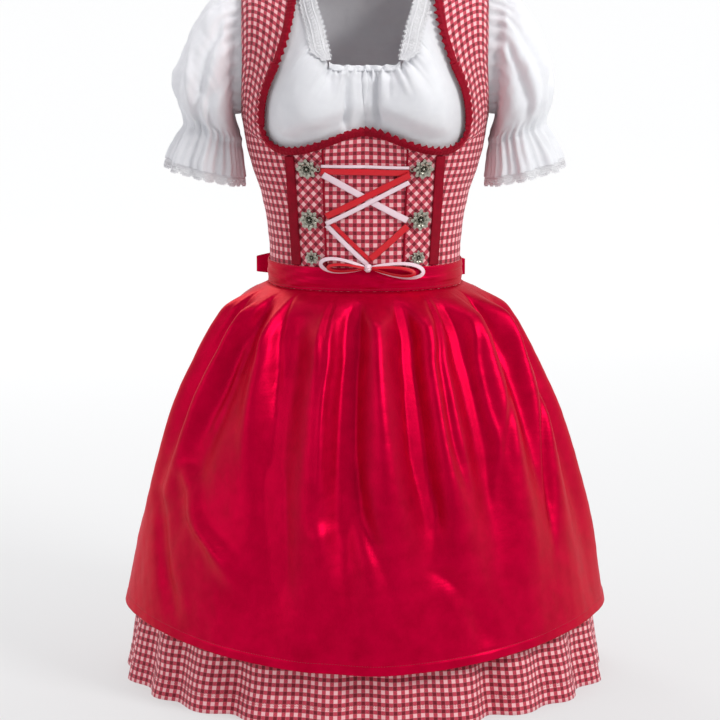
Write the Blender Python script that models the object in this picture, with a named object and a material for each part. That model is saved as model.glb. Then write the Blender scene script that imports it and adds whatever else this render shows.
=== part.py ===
# A dirndl as it is worn, with nobody in it: a gingham bodice and skirt, a satin apron
# and a white puff-sleeved blouse. Metres, +Z up. The front faces -Y and the wearer's
# left is +X. The origin lies midway between the shoulders, where the straps rest.

import math
from collections import namedtuple

import bmesh
import bpy
import numpy as np
from mathutils import Matrix, Vector

SEAM = 0.0003                # gap between pieces that are sewn edge to edge
WAIST_SEAM = 0.0008          # the same between the bodice and the skirt
BODICE_LIFT = 0.0030         # from the dress form to the bodice's inner face
BODICE_CLOTH = 0.0020        # gingham with its stiffening
BLOUSE_CLOTH = 0.0010
SKIRT_CLOTH = 0.0014
APRON_CLOTH = 0.0012
RIBBON_CLOTH = 0.0010
SLEEVE_CLOTH = 0.0012
BAND_CLOTH = 0.0018

WAIST = -0.405               # height of the waist seam
SKIRT_HEM = -0.986
APRON_HEM = (-0.912, -0.882)  # height at the centre front and at the sides
BLOUSE_HEM = -0.262
CENTRE_PANEL = (0.0500, 0.0565)  # half width at the waist and at the neckline
BAND_LINE = (0.0890, 0.0985)     # where the velvet bands lie, at the waist and above
BAND_WIDTH = 0.012
PIPING_WIDTH = 0.0028
BAND_TOP, BAND_FOOT = -0.3975, -0.4295   # the apron's waistband
BAND_LIFT = 0.0010           # from the bodice's outer face to the waistband
BAND_SWELL = 0.0010
KNOT = Vector((0.004, -0.1142, -0.3965))
APRON_KNOT = Vector((0.0, 0.1134, -0.4130))
NECK_MIDDLE = np.array([0.0, 0.0, -0.1])
TAIL_LIFT = 0.0013           # from the skirt to the ends that hang from the bow
NECK_LACE = 0.0185
PUFF = 0.0095                # how far the blouse puffs out of the neckline
GATHER = 0.0011
GATHER_SPREAD = 7.5          # half the gathered front, in columns of its grid

Section = namedtuple("Section", "level height half_width front back squareness")
# The dress form from the waist to the chest. Above the last row it domes to the shoulder.
FORM = (
    Section(0.00, WAIST, 0.1265, 0.101, 0.096, 2.2),
    Section(0.12, -0.355, 0.1295, 0.103, 0.100, 2.2),
    Section(0.25, -0.305, 0.1385, 0.107, 0.107, 2.3),
    Section(0.37, -0.255, 0.1545, 0.111, 0.112, 2.4),
    Section(0.50, -0.200, 0.1645, 0.112, 0.115, 2.5),
    Section(0.62, -0.150, 0.168, 0.109, 0.114, 2.6),
    Section(0.74, -0.100, 0.169, 0.102, 0.108, 2.8),
)
SHOULDER_SLOPE = 0.32        # fall of the shoulder for each metre beyond the neck
NECK_HALF_WIDTH = 0.080

Cup = namedtuple("Cup", "side height rise spread drop_spread lift_spread")
CUP = Cup(side=0.078, height=-0.178, rise=0.046, spread=0.047, drop_spread=0.040, lift_spread=0.058)

Oval = namedtuple("Oval", "centre half_height half_depth")
DRESS_ARMHOLE = Oval(-0.1140, 0.0880, 0.0460)
BLOUSE_ARMHOLE = Oval(-0.1130, 0.0830, 0.0405)

# Half necklines as (side, height), from the centre to the top of the shoulder.
DRESS_NECK_FRONT = (
    (0.0000, -0.2105), (0.0200, -0.2125), (0.0390, -0.2185), (0.0565, -0.2250),
    (0.0850, -0.2345), (0.1000, -0.2365), (0.1150, -0.2340), (0.1270, -0.2250),
    (0.1330, -0.2080), (0.1330, -0.1850), (0.1280, -0.1580), (0.1140, -0.1230),
    (0.0995, -0.0700), (0.0950, -0.0400), (0.0920, 0.0000),
)
DRESS_NECK_BACK = (
    (0.0000, -0.0900), (0.0320, -0.0880), (0.0600, -0.0780),
    (0.0800, -0.0570), (0.0890, -0.0290), (0.0920, 0.0000),
)
BLOUSE_NECK_FRONT = (
    (0.0000, -0.1305), (0.0220, -0.1302), (0.0420, -0.1290), (0.0490, -0.1235),
    (0.0530, -0.1020), (0.0575, -0.0780), (0.0650, -0.0540), (0.0700, -0.0320), (0.0750, 0.0000),
)
BLOUSE_NECK_BACK = (
    (0.0000, -0.0300), (0.0250, -0.0290), (0.0500, -0.0220), (0.0680, -0.0110), (0.0750, 0.0000),
)

Trim = namedtuple("Trim", "inner outer crown ripple")
TRIM = Trim(inner=0.0060, outer=0.0062, crown=0.0030, ripple=0.0016)

Hoop = namedtuple("Hoop", "height half_width front back squareness")
# The skirt's outermost line, from the waist seam to the hem.
SKIRT = (
    Hoop(WAIST - WAIST_SEAM, 0.1315, 0.1060, 0.1010, 2.2),
    Hoop(-0.4200, 0.1315, 0.1060, 0.1010, 2.2),
    Hoop(-0.4305, 0.1315, 0.1060, 0.1010, 2.2),
    Hoop(-0.4400, 0.1485, 0.1200, 0.1170, 2.1),
    Hoop(-0.4577, 0.1650, 0.1330, 0.1325, 2.1),
    Hoop(-0.4860, 0.1857, 0.1500, 0.1520, 2.1),
    Hoop(-0.5140, 0.2020, 0.1650, 0.1670, 2.0),
    Hoop(-0.5420, 0.2165, 0.1775, 0.1800, 2.0),
    Hoop(-0.6000, 0.2423, 0.2000, 0.2030, 2.0),
    Hoop(-0.6580, 0.2640, 0.2185, 0.2215, 2.0),
    Hoop(-0.7160, 0.2840, 0.2355, 0.2390, 2.0),
    Hoop(-0.7760, 0.3020, 0.2510, 0.2545, 2.0),
    Hoop(-0.8360, 0.3145, 0.2620, 0.2655, 2.0),
    Hoop(-0.8970, 0.3270, 0.2730, 0.2765, 2.0),
    Hoop(SKIRT_HEM, 0.3445, 0.2880, 0.2920, 2.0),
)

Fold = namedtuple("Fold", "at_waist at_hem depth width")
# Troughs between the skirt's pleats: angles in degrees from the wearer's left side
# round by the front, and depths in metres at the hem.
SKIRT_FOLDS = (
    Fold(8, 6, 0.016, 5.0), Fold(26, 25, 0.020, 5.5), Fold(44, 43, 0.012, 4.5),
    Fold(60, 59, 0.022, 4.0), Fold(75, 77, 0.010, 5.0), Fold(91, 90, 0.014, 5.0),
    Fold(108, 105, 0.009, 5.0), Fold(121, 123, 0.020, 4.5), Fold(139, 141, 0.012, 5.0),
    Fold(157, 156, 0.018, 5.5), Fold(175, 174, 0.014, 5.0), Fold(193, 194, 0.021, 5.5),
    Fold(211, 209, 0.017, 5.0), Fold(228, 229, 0.023, 5.5), Fold(246, 247, 0.018, 5.0),
    Fold(263, 262, 0.022, 5.5), Fold(280, 281, 0.019, 5.0), Fold(298, 297, 0.024, 5.5),
    Fold(316, 317, 0.017, 5.0), Fold(333, 333, 0.021, 5.5), Fold(350, 349, 0.015, 5.0),
)

APRON_ENDS = (-8.0, 188.0)    # angles of the apron's two side edges
Pleat = namedtuple("Pleat", "at_waist at_hem height width start end")
# Ridges (plus) and troughs (minus) of the apron, with the share of its length where
# each begins and has faded out.
APRON_PLEATS = (
    Pleat(170, 168, 0.009, 5.0, 0.00, 0.9), Pleat(158, 160, -0.006, 4.5, 0.00, 0.7),
    Pleat(147, 163, 0.012, 4.0, 0.00, 0.8), Pleat(140, 148, -0.007, 5.0, 0.00, 0.9),
    Pleat(131, 119, 0.010, 4.0, 0.04, 0.6), Pleat(119, 112, -0.007, 6.0, 0.05, 1.2),
    Pleat(107, 102, 0.009, 5.0, 0.05, 0.9), Pleat(95, 96, -0.010, 4.0, 0.00, 1.3),
    Pleat(86, 86, 0.010, 6.0, 0.00, 1.1), Pleat(74, 72, -0.010, 4.0, 0.00, 1.1),
    Pleat(64, 66, 0.010, 5.0, 0.00, 1.0), Pleat(52, 56, -0.009, 4.5, 0.00, 1.0),
    Pleat(40, 47, 0.011, 5.0, 0.00, 0.9), Pleat(29, 37, -0.006, 4.0, 0.00, 0.9),
    Pleat(20, 28, 0.010, 4.5, 0.00, 0.8), Pleat(9, 20, -0.006, 5.0, 0.05, 1.2),
    Pleat(0, 8, 0.008, 5.0, 0.00, 1.1),
)
APRON_LIFT = 0.0105          # from the skirt's outermost line to the apron's outer face
APRON_TOP_LIFT = 0.0036      # the same where the apron is sewn to its waistband
APRON_SHARES = (0.0, 0.03, 0.08, 0.16, 0.28, 0.42, 0.60, 0.80, 1.0)
SKIRT_HEIGHTS = (WAIST - WAIST_SEAM, -0.4305, -0.4480, -0.4900, -0.5700, -0.7000, -0.8450, SKIRT_HEM)
SKIRT_GAP = 0.1              # half the gap of the skirt's side seams, in degrees

Cuff = namedtuple("Cuff", "along outer inner half_depth gather flute")
# The sleeve as hoops: where each stands outermost and innermost, as (side, height).
SLEEVE = (
    Cuff(0.00, (0.1650, -0.0300), (0.1672, -0.1960), 0.0405, 0.0000, 0.0000),
    Cuff(0.05, (0.1800, -0.0298), (0.1790, -0.1968), 0.0425, 0.0008, 0.0000),
    Cuff(0.12, (0.1965, -0.0350), (0.1800, -0.2010), 0.0560, 0.0018, 0.0010),
    Cuff(0.20, (0.2150, -0.0520), (0.1790, -0.2065), 0.0660, 0.0014, 0.0022),
    Cuff(0.30, (0.2360, -0.0830), (0.1770, -0.2120), 0.0710, 0.0008, 0.0032),
    Cuff(0.42, (0.2510, -0.1190), (0.1750, -0.2175), 0.0715, 0.0006, 0.0036),
    Cuff(0.53, (0.2590, -0.1530), (0.1735, -0.2225), 0.0680, 0.0010, 0.0032),
    Cuff(0.61, (0.2575, -0.1800), (0.1725, -0.2280), 0.0580, 0.0016, 0.0016),
    Cuff(0.68, (0.2480, -0.2020), (0.1720, -0.2330), 0.0480, 0.0020, 0.0004),
    Cuff(0.72, (0.2470, -0.2110), (0.1725, -0.2370), 0.0455, 0.0018, 0.0000),
    Cuff(0.80, (0.2550, -0.2250), (0.1710, -0.2480), 0.0505, 0.0030, 0.0004),
    Cuff(0.90, (0.2650, -0.2440), (0.1690, -0.2680), 0.0565, 0.0042, 0.0010),
    Cuff(1.00, (0.2712, -0.2600), (0.1675, -0.2850), 0.0600, 0.0048, 0.0012),
    Cuff(1.06, (0.2745, -0.2715), (0.1668, -0.2970), 0.0620, 0.0050, 0.0012),
)
SLEEVE_GATHERS = 8
SLEEVE_SOFT_FOLDS = 5
SLEEVE_RINGS = (0.05, 0.12, 0.20, 0.30, 0.42, 0.53, 0.62, 0.70, 0.80, 0.90, 1.0)
SLEEVE_SET = 0.0006          # from the blouse's armhole to the sleeve, along X
CUFF_SCALLOPS = 20
LACE_SPAN = (1.0012, 1.06)   # where the cuff lace begins and ends along the sleeve
LACE_GAP = 0.0025            # half the gap between its two halves, in radians
# One scallop of the cuff lace as (share of its pitch, share of its depth), and its faces.
SCALLOP = {
    "top": (0.0, 0.0), "foot": (0.0, 0.30), "hole_in": (0.24, 0.30), "hole_out": (0.76, 0.30),
    "arch_in": (0.36, 0.68), "arch_out": (0.64, 0.68), "edge_a": (0.12, 0.72),
    "edge_b": (0.34, 1.0), "edge_c": (0.66, 1.0), "edge_d": (0.88, 0.72),
}
SCALLOP_FACES = (
    ("top", "foot", "hole_in"), ("top", "hole_in", "hole_out", "next_top"),
    ("next_top", "hole_out", "next_foot"), ("foot", "edge_a", "hole_in"),
    ("hole_in", "edge_a", "edge_b", "arch_in"), ("arch_in", "edge_b", "edge_c", "arch_out"),
    ("arch_out", "edge_c", "edge_d", "hole_out"), ("hole_out", "edge_d", "next_foot"),
)

Hook = namedtuple("Hook", "name side height radius lift")
HOOKS = (
    Hook("top", 0.0757, -0.2600, 0.0150, 0.0010),
    Hook("middle", 0.0715, -0.3320, 0.0150, 0.0007),
    Hook("bottom", 0.0690, -0.3850, 0.0100, 0.0004),
)
PETALS = 8
PETAL_NOTCH = 0.76           # how far out the edge reaches between two petals
Ring = namedtuple("Ring", "reach petalled out")
# A hook from its edge inwards, as shares of its radius and metres off the cloth.
HOOK_RINGS = (
    Ring(1.00, True, 0.0), Ring(0.96, True, 0.0016), Ring(0.36, False, 0.0034), Ring(0.30, False, 0.0018),
)
HOOK_BEAD = 0.0052

Stretch = namedtuple("Stretch", "name colour start end width lift")
# The lacing between the hooks: ends as (side, height), and the gap to the cloth below.
LACING = (
    Stretch("top_white", "white", (-0.0580, -0.2560), (0.0580, -0.2585), 0.0045, 0.0022),
    Stretch("top_red", "red", (-0.0580, -0.2635), (0.0580, -0.2660), 0.0090, 0.0022),
    Stretch("down_right_white", "white", (-0.0550, -0.2680), (0.0545, -0.3320), 0.0090, 0.0034),
    Stretch("down_left_red", "red", (0.0580, -0.2680), (-0.0500, -0.3260), 0.0090, 0.0050),
    Stretch("down_left_white", "white", (0.0570, -0.2785), (-0.0500, -0.3362), 0.0065, 0.0050),
    Stretch("low_left_white", "white", (-0.0500, -0.3390), (0.0025, -0.3925), 0.0065, 0.0018),
    Stretch("low_left_red", "red", (-0.0450, -0.3341), (0.0073, -0.3875), 0.0060, 0.0018),
    Stretch("low_right_red", "red", (0.0545, -0.3400), (0.0070, -0.3845), 0.0090, 0.0032),
)

LaceLoop = namedtuple("LaceLoop", "name colour reach drop swell width front")
LACE_LOOPS = (
    LaceLoop("left_white", "white", 0.0710, -0.0080, 0.0125, 0.0052, 0.0030),
    LaceLoop("left_red", "red", 0.0590, -0.0085, 0.0070, 0.0052, 0.0084),
    LaceLoop("right_white", "white", -0.0600, 0.0040, 0.0115, 0.0052, 0.0030),
    LaceLoop("right_red", "red", -0.0500, 0.0000, 0.0060, 0.0052, 0.0084),
)
LACE_KNOT_REACH = (0.0050, 0.0050, 0.0055)
LACE_LOOP_START = 0.0035     # from the knot's middle to where a loop leaves it
LACE_LOOP_TURNS = (0.06, 0.94)
LACE_LOOP_ACROSS = (0.0, -0.85, 0.5)

BowLoop = namedtuple("BowLoop", "name reach drop")
BOW_LOOPS = (BowLoop("right", -0.1420, -0.008), BowLoop("left", 0.1300, -0.012))
BOW_KNOT_REACH = (0.0130, 0.0095, 0.0165)
BOW_LOOP_START = 0.0135
BOW_BULGE = (0.0135, 0.0070)  # how far a loop opens outwards and towards the back
BOW_SETTLE = 0.010           # how far its end falls back towards the skirt
BOW_WIDTH = (0.022, 0.020)   # at the knot, and what it gains by the loop's end
BowTail = namedtuple("BowTail", "name lean length")
BOW_TAILS = (BowTail("right", 1.0, 0.33), BowTail("left", -1.0, 0.30))
TAIL_WIDTH = (0.022, 0.012)
TAIL_TURN = (6.2, 2.2)       # degrees from the back's middle, and what the foot gains
TAIL_RADIUS = (0.12, 0.13)   # the skirt's radius behind, and what it gains by a tail's foot

COLOURS = {
    "gingham": ((0.70, 0.20, 0.24), 0.85),
    "velvet": ((0.36, 0.005, 0.03), 0.70),
    "satin": ((0.62, 0.005, 0.04), 0.35),
    "cotton": ((0.88, 0.88, 0.90), 0.85),
    "lace": ((0.90, 0.90, 0.91), 0.85),
    "white": ((0.92, 0.82, 0.86), 0.45),
    "red": ((0.72, 0.01, 0.03), 0.40),
    "metal": ((0.30, 0.30, 0.26), 0.40),
}


def through(knots, values):
    """A smooth curve that passes through each value at its knot."""
    knots = np.asarray(knots, float)
    values = np.asarray(values, float)
    slopes = np.gradient(values, knots, axis=0)

    def at(where):
        where = np.clip(np.asarray(where, float), knots[0], knots[-1])
        i = np.clip(np.searchsorted(knots, where, side="right") - 1, 0, len(knots) - 2)
        span = knots[i + 1] - knots[i]
        s = (where - knots[i]) / span
        if values.ndim > 1:
            s, span = s[..., None], span[..., None]
        early = (1 + 2 * s) * (1 - s) ** 2 * values[i] + s * (1 - s) ** 2 * span * slopes[i]
        late = s * s * (3 - 2 * s) * values[i + 1] - s * s * (1 - s) * span * slopes[i + 1]
        return early + late

    return at


def eased(share):
    share = np.clip(share, 0.0, 1.0)
    return share * share * (3 - 2 * share)


CHEST = FORM[-1]
FORM_AT = through([s.level for s in FORM], [s[1:] for s in FORM])


def section(level):
    """Height, half width, front, back and squareness of the form at a level."""
    level = np.asarray(level, float)
    rows = FORM_AT(np.minimum(level, CHEST.level))
    turn = np.clip((level - CHEST.level) / (1 - CHEST.level), 0, 1) * math.pi / 2
    height = rows[..., 0] * np.where(level > CHEST.level, 1 - np.sin(turn), 1)
    return height, rows[..., 1], rows[..., 2] * np.cos(turn), rows[..., 3] * np.cos(turn), rows[..., 4]


def cup_rise(side, height):
    """How far the cut of the cups stands forward of the form."""
    spread = np.where(height < CUP.height, CUP.drop_spread, CUP.lift_spread)
    across = (np.abs(side) - CUP.side) / CUP.spread
    return CUP.rise * np.exp(-0.5 * across**2 - 0.5 * ((height - CUP.height) / spread) ** 2)


def bare_form(angle, over):
    """The dress form. Over runs 0 to 1 up the front and 1 to 2 down the back."""
    angle, over = np.broadcast_arrays(np.asarray(angle, float), np.asarray(over, float))
    behind = over > 1
    height, half_width, front, back, square = section(np.where(behind, 2 - over, over))
    across = np.sign(np.cos(angle)) * np.abs(np.cos(angle)) ** (2 / square)
    deep = np.sign(np.sin(angle)) * np.abs(np.sin(angle)) ** (2 / square)
    x = half_width * across
    y = np.where(behind, back * deep, -front * deep)
    level = np.where(behind, 2 - over, over)
    z = height - SHOULDER_SLOPE * np.maximum(np.abs(x) - NECK_HALF_WIDTH, 0) * eased((level - 0.6) / 0.4)
    y = y - np.where(behind, 0, cup_rise(x, z) * np.clip(deep, 0, 1))
    return np.stack([x, y, z], axis=-1)


def form(angle, over, out=0.0):
    """A point on the dress form, moved out along its normal."""
    step = 1e-3
    up = bare_form(angle, np.asarray(over) + step) - bare_form(angle, np.asarray(over) - step)
    turn = bare_form(np.asarray(angle) + step, over) - bare_form(np.asarray(angle) - step, over)
    normal = np.cross(up, turn)
    normal /= np.maximum(np.linalg.norm(normal, axis=-1, keepdims=True), 1e-12)
    return bare_form(angle, over) + normal * np.asarray(out, float)[..., None]


def solved(gap, low, high):
    """Where gap crosses zero, found by halving."""
    for _ in range(50):
        middle = (low + high) / 2
        low, high = (middle, high) if gap(middle) < 0 else (low, middle)
    return (low + high) / 2


def on_front(side, height, behind=False):
    """The form's (angle, over) at a place seen from the front, or from behind."""

    def angle_at(level):
        _, half_width, _, _, square = section(level)
        share = min(abs(side) / float(half_width), 1.0) ** (float(square) / 2)
        return math.acos(share) if side >= 0 else math.pi - math.acos(share)

    level = solved(lambda v: bare_form(angle_at(v), v)[2] - height, 0.0, 1.0)
    return angle_at(level), 2 - level if behind else level


def on_side(depth, height):
    """The form's (angle, over) on the wearer's left, at a place seen from the side."""
    behind = depth > 0

    def angle_at(level):
        _, _, front, back, square = section(level)
        reach = max(float(back if behind else front), 1e-6)
        return math.asin(min(abs(depth) / reach, 0.98) ** (float(square) / 2))

    level = solved(lambda v: bare_form(angle_at(v), v)[2] - height, 0.0, 1.0)
    return angle_at(level), 2 - level if behind else level


def neck_edge(points, behind=False, count=40):
    """A half neckline as (angle, over), smooth, from the centre to the shoulder."""
    points = np.array(points)
    run = np.concatenate([[0], np.cumsum(np.linalg.norm(np.diff(points, axis=0), axis=1))])
    smooth = through(run, points)(np.linspace(0, run[-1], count))
    edge = [on_front(x, z, behind) for x, z in smooth[:-1]]
    top = math.acos((points[-1, 0] / CHEST.half_width) ** (CHEST.squareness / 2))
    return np.array(edge + [(top, 1.0)])


def armhole_edge(oval, behind=False, count=24):
    """Half an armhole as (angle, over), from the underarm to the shoulder."""
    turns = np.linspace(-math.pi / 2, math.pi / 2, count)
    facing = 1 if behind else -1
    edge = [
        on_side(facing * oval.half_depth * math.cos(t), oval.centre + oval.half_height * math.sin(t))
        for t in turns[:-1]
    ]
    edge[0] = (0.0, edge[0][1])
    return np.array(edge + [(edge[-1][0], 1.0)])


def side_seam(bottom, top, count=12):
    """The side of the form as (angle, over), between two heights."""
    levels = [solved(lambda v: bare_form(0.0, v)[2] - h, 0.0, 1.0) for h in np.linspace(bottom, top, count)]
    return np.array([(0.0, level) for level in levels])


def behind(edge):
    """The same edge on the form's back."""
    return np.column_stack([edge[:, 0], 2 - edge[:, 1]])


def evenly(edge, count):
    """The edge's places, count of them, evenly apart along the cloth."""
    points = form(edge[:, 0], edge[:, 1])
    run = np.concatenate([[0], np.cumsum(np.linalg.norm(np.diff(points, axis=0), axis=1))])
    where = np.linspace(0, run[-1], count)
    return np.column_stack([np.interp(where, run, edge[:, i]) for i in range(2)])


def between(first, last, count):
    """A grid of places with one edge as its first column and the other as its last."""
    share = np.linspace(0, 1, count)[None, :, None]
    return first[:, None, :] * (1 - share) + last[:, None, :] * share


def mirrored(points):
    return points * np.array([-1.0, 1.0, 1.0])


MATERIALS = {}


def material(name):
    if name not in MATERIALS:
        made = bpy.data.materials.new(name)
        made.use_nodes = True
        colour, roughness = COLOURS[name]
        shader = made.node_tree.nodes["Principled BSDF"]
        shader.inputs["Base Color"].default_value = (*colour, 1.0)
        shader.inputs["Roughness"].default_value = roughness
        shader.inputs["Metallic"].default_value = 1.0 if name == "metal" else 0.0
        MATERIALS[name] = made
    return MATERIALS[name]


def add_object(name, mesh, colour, parent):
    mesh.materials.append(material(colour))
    made = bpy.data.objects.new(name, mesh)
    made.parent = parent
    bpy.context.scene.collection.objects.link(made)
    mesh.shade_smooth()
    mesh.set_sharp_from_angle(angle=math.radians(50))
    return made


def grid_faces(rows, columns, closed_rows=False, closed_columns=False):
    across = columns if closed_columns else columns - 1
    along = rows if closed_rows else rows - 1
    return [
        (
            i * columns + j,
            i * columns + (j + 1) % columns,
            (i + 1) % rows * columns + (j + 1) % columns,
            (i + 1) % rows * columns + j,
        )
        for i in range(along)
        for j in range(across)
    ]


def solid(name, points, faces, colour, parent):
    """An object from a closed skin, turned to face outwards."""
    mesh = bpy.data.meshes.new(name)
    mesh.from_pydata([tuple(p) for p in points], [], faces)
    bm = bmesh.new()
    bm.from_mesh(mesh)
    inside_out = bm.calc_volume(signed=True) < 0
    bm.free()
    if inside_out:
        mesh.flip_normals()
    return add_object(name, mesh, colour, parent)


def cloth(name, outer, inner, faces, colour, parent):
    """A wall of cloth between two skins that share one layout of faces."""
    count = len(outer)
    edges = {edge for face in faces for edge in zip(face, face[1:] + face[:1])}
    rim = [(b, a, a + count, b + count) for a, b in sorted(edges) if (b, a) not in edges]
    lining = [tuple(i + count for i in (*face[-2::-1], face[-1])) for face in faces]
    return solid(name, np.vstack([outer, inner]), list(faces) + lining + rim, colour, parent)


def cloth_grid(name, outer, inner, colour, parent, tube=False):
    """A wall of cloth between two grids of points; a tube closes on itself."""
    rows, columns = outer.shape[:2]
    faces = grid_faces(rows, columns, closed_columns=tube)
    return cloth(name, outer.reshape(-1, 3), inner.reshape(-1, 3), faces, colour, parent)


def on_form(name, grid, out, thickness, colour, parent, mirror=False):
    """A wall of cloth on the form, from a grid of (angle, over); out is its outer face."""
    skins = [form(grid[..., 0], grid[..., 1], lift) for lift in (out, out - thickness)]
    skins = [mirrored(skin) for skin in skins] if mirror else skins
    return cloth_grid(name, *skins, colour, parent)


def place(name, parent=None):
    made = bpy.data.objects.new(name, None)
    made.parent = parent
    made.empty_display_size = 0.05
    bpy.context.scene.collection.objects.link(made)
    return made


SHOULDER_GAP = 0.0003        # half the gap of a shoulder seam, as a share of over
SIDE_GAP = 0.0015            # half the gap of a side seam, in radians
BODICE_OUT = BODICE_LIFT + BODICE_CLOTH
UNDERARM = DRESS_ARMHOLE.centre - DRESS_ARMHOLE.half_height
PANEL_ROWS = 9
NECK_TOP = through(*zip(*DRESS_NECK_FRONT[:6]))


def panel_line(low, high):
    """A panel's edge as (angle, over), straight from the waist to the neckline."""
    top = float(NECK_TOP(abs(high)))
    shares = np.linspace(0, 1, PANEL_ROWS)
    return np.array([on_front(low + (high - low) * s, WAIST + (top - WAIST) * s) for s in shares])


def bodice_side(mirror, word, parent):
    """The side front, with its strap: from the velvet band round to the side seam."""
    gap = SEAM / 2
    line = panel_line(BAND_LINE[0] + gap, BAND_LINE[1] + gap)
    neck = neck_edge(DRESS_NECK_FRONT)
    corner = int(np.argmax(neck[:, 0] < line[-1, 0]))
    above = evenly(np.vstack([line[-1:], neck[corner:]]), 12)[1:]
    inner = np.vstack([line, above])
    outer = np.vstack([side_seam(WAIST, UNDERARM), armhole_edge(DRESS_ARMHOLE)[1:]])
    outer = evenly(outer, len(inner))
    outer[:, 0] = np.maximum(outer[:, 0], SIDE_GAP)
    inner[-1, 1] = outer[-1, 1] = 1 - SHOULDER_GAP
    grid = between(inner, outer, 7)
    on_form(f"bodice_side_{word}", grid, BODICE_OUT, BODICE_CLOTH, "gingham", parent, mirror)


def bodice_back(mirror, word, parent):
    """Half the back, with its strap, from the centre seam to the side seam."""
    neck = neck_edge(DRESS_NECK_BACK, behind=True)
    bottom = on_front(0.0, WAIST, behind=True)[1]
    centre = np.column_stack([np.full(10, math.pi / 2), np.linspace(bottom, neck[0, 1], 10)])
    inner = evenly(np.vstack([centre[:-1], neck]), 15)
    inner[:, 0] = np.minimum(inner[:, 0], math.pi / 2 - SIDE_GAP)
    outer = np.vstack([behind(side_seam(WAIST, UNDERARM)), armhole_edge(DRESS_ARMHOLE, behind=True)[1:]])
    outer = evenly(outer, len(inner))
    outer[:, 0] = np.maximum(outer[:, 0], SIDE_GAP)
    inner[-1, 1] = outer[-1, 1] = 1 + SHOULDER_GAP
    grid = between(inner, outer, 8)
    on_form(f"bodice_back_{word}", grid, BODICE_OUT, BODICE_CLOTH, "gingham", parent, mirror)


def bodice_front(parent):
    """The centre panel, and the panel cut on the bias at each side of it."""
    gap = SEAM / 2
    low, high = CENTRE_PANEL
    across = np.linspace(-1, 1, 7)
    centre = np.stack([panel_line((low - gap) * a, (high - gap) * a) for a in across], axis=1)
    on_form("bodice_centre", centre, BODICE_OUT, BODICE_CLOTH, "gingham", parent)
    lows = np.linspace(low + gap, BAND_LINE[0] - gap, 4)
    highs = np.linspace(high + gap, BAND_LINE[1] - gap, 4)
    bias = np.stack([panel_line(a, b) for a, b in zip(lows, highs)], axis=1)
    for mirror, word in ((False, "left"), (True, "right")):
        on_form(f"bodice_bias_{word}", bias, BODICE_OUT, BODICE_CLOTH, "gingham", parent, mirror)


def strip(name, line, width, lift, thickness, colour, parent, mirror=False):
    """A flat ribbon laid on the bodice along a line of (side, height) places."""
    line = np.array(line)
    along = np.gradient(line, axis=0)
    along /= np.linalg.norm(along, axis=1, keepdims=True)
    across = np.column_stack([-along[:, 1], along[:, 0]])
    grid = np.array([
        [on_front(*(p + a * width * half)) for half in (-0.5, 0.5)] for p, a in zip(line, across)
    ])
    on_form(name, grid, BODICE_OUT + lift + thickness, thickness, colour, parent, mirror)


def edge_places(low, high, foot, top, count=9):
    shares = np.linspace(0, 1, count)
    return [(low + (high - low) * s, foot + (top - foot) * s) for s in shares]


def bands_and_piping(parent):
    """The velvet bands down the front, and the piping beside the centre panel."""
    for mirror, word in ((False, "left"), (True, "right")):
        line = edge_places(BAND_LINE[0] + 0.0004, BAND_LINE[1], -0.3965, -0.2440)
        strip(f"velvet_band_{word}", line, BAND_WIDTH, 0.0007, 0.0013, "velvet", parent, mirror)
        line = edge_places(CENTRE_PANEL[0] + 0.0003, CENTRE_PANEL[1], -0.3965, -0.2330)
        strip(f"piping_{word}", line, PIPING_WIDTH, 0.0004, 0.0010, "velvet", parent, mirror)


def neckline_trim(parent):
    """The gathered velvet edging, one loop round the whole neckline."""
    front = neck_edge(DRESS_NECK_FRONT, count=60)
    back = neck_edge(DRESS_NECK_BACK, behind=True, count=40)
    half = evenly(np.vstack([front, back[::-1][1:]]), 66)
    other = half[::-1][1:-1] * np.array([-1, 1]) + np.array([math.pi, 0])
    loop = np.vstack([half, other])
    base = form(loop[:, 0], loop[:, 1], BODICE_OUT + 0.0009)
    normal = form(loop[:, 0], loop[:, 1], 1.0) - form(loop[:, 0], loop[:, 1], 0.0)
    along = np.roll(base, -1, axis=0) - np.roll(base, 1, axis=0)
    along /= np.linalg.norm(along, axis=1, keepdims=True)
    inward = np.cross(along, normal)
    inward *= np.sign(np.sum(inward * (NECK_MIDDLE - base), axis=1))[:, None]
    wave = np.where(np.arange(len(loop)) % 2, 1.0, -1.0)[:, None]
    ring = np.stack([
        base - inward * (TRIM.outer + wave * 0.4 * TRIM.ripple),
        base + inward * 0.2 * TRIM.inner + normal * (TRIM.crown + wave * 0.4 * TRIM.ripple),
        base + inward * (TRIM.inner + wave * TRIM.ripple) + normal * 0.0004,
    ], axis=1)
    faces = grid_faces(len(loop), 3, closed_rows=True, closed_columns=True)
    solid("neckline_trim", ring.reshape(-1, 3), faces, "velvet", parent)


def rosette(radius):
    """Points (side, height, out) and faces of a flower-shaped hook, flat behind."""
    count = 2 * PETALS
    points = []
    for ring in HOOK_RINGS:
        for k in range(count):
            reach = radius * ring.reach * (PETAL_NOTCH if ring.petalled and k % 2 else 1.0)
            turn = k * math.pi / PETALS
            points.append((reach * math.sin(turn), reach * math.cos(turn), ring.out))
    points.append((0.0, 0.0, HOOK_BEAD))
    faces = grid_faces(len(HOOK_RINGS), count, closed_columns=True)
    faces.append(tuple(reversed(range(count))))
    last = (len(HOOK_RINGS) - 1) * count
    faces += [(last + k, last + (k + 1) % count, len(points) - 1) for k in range(count)]
    return np.array(points), faces


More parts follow.
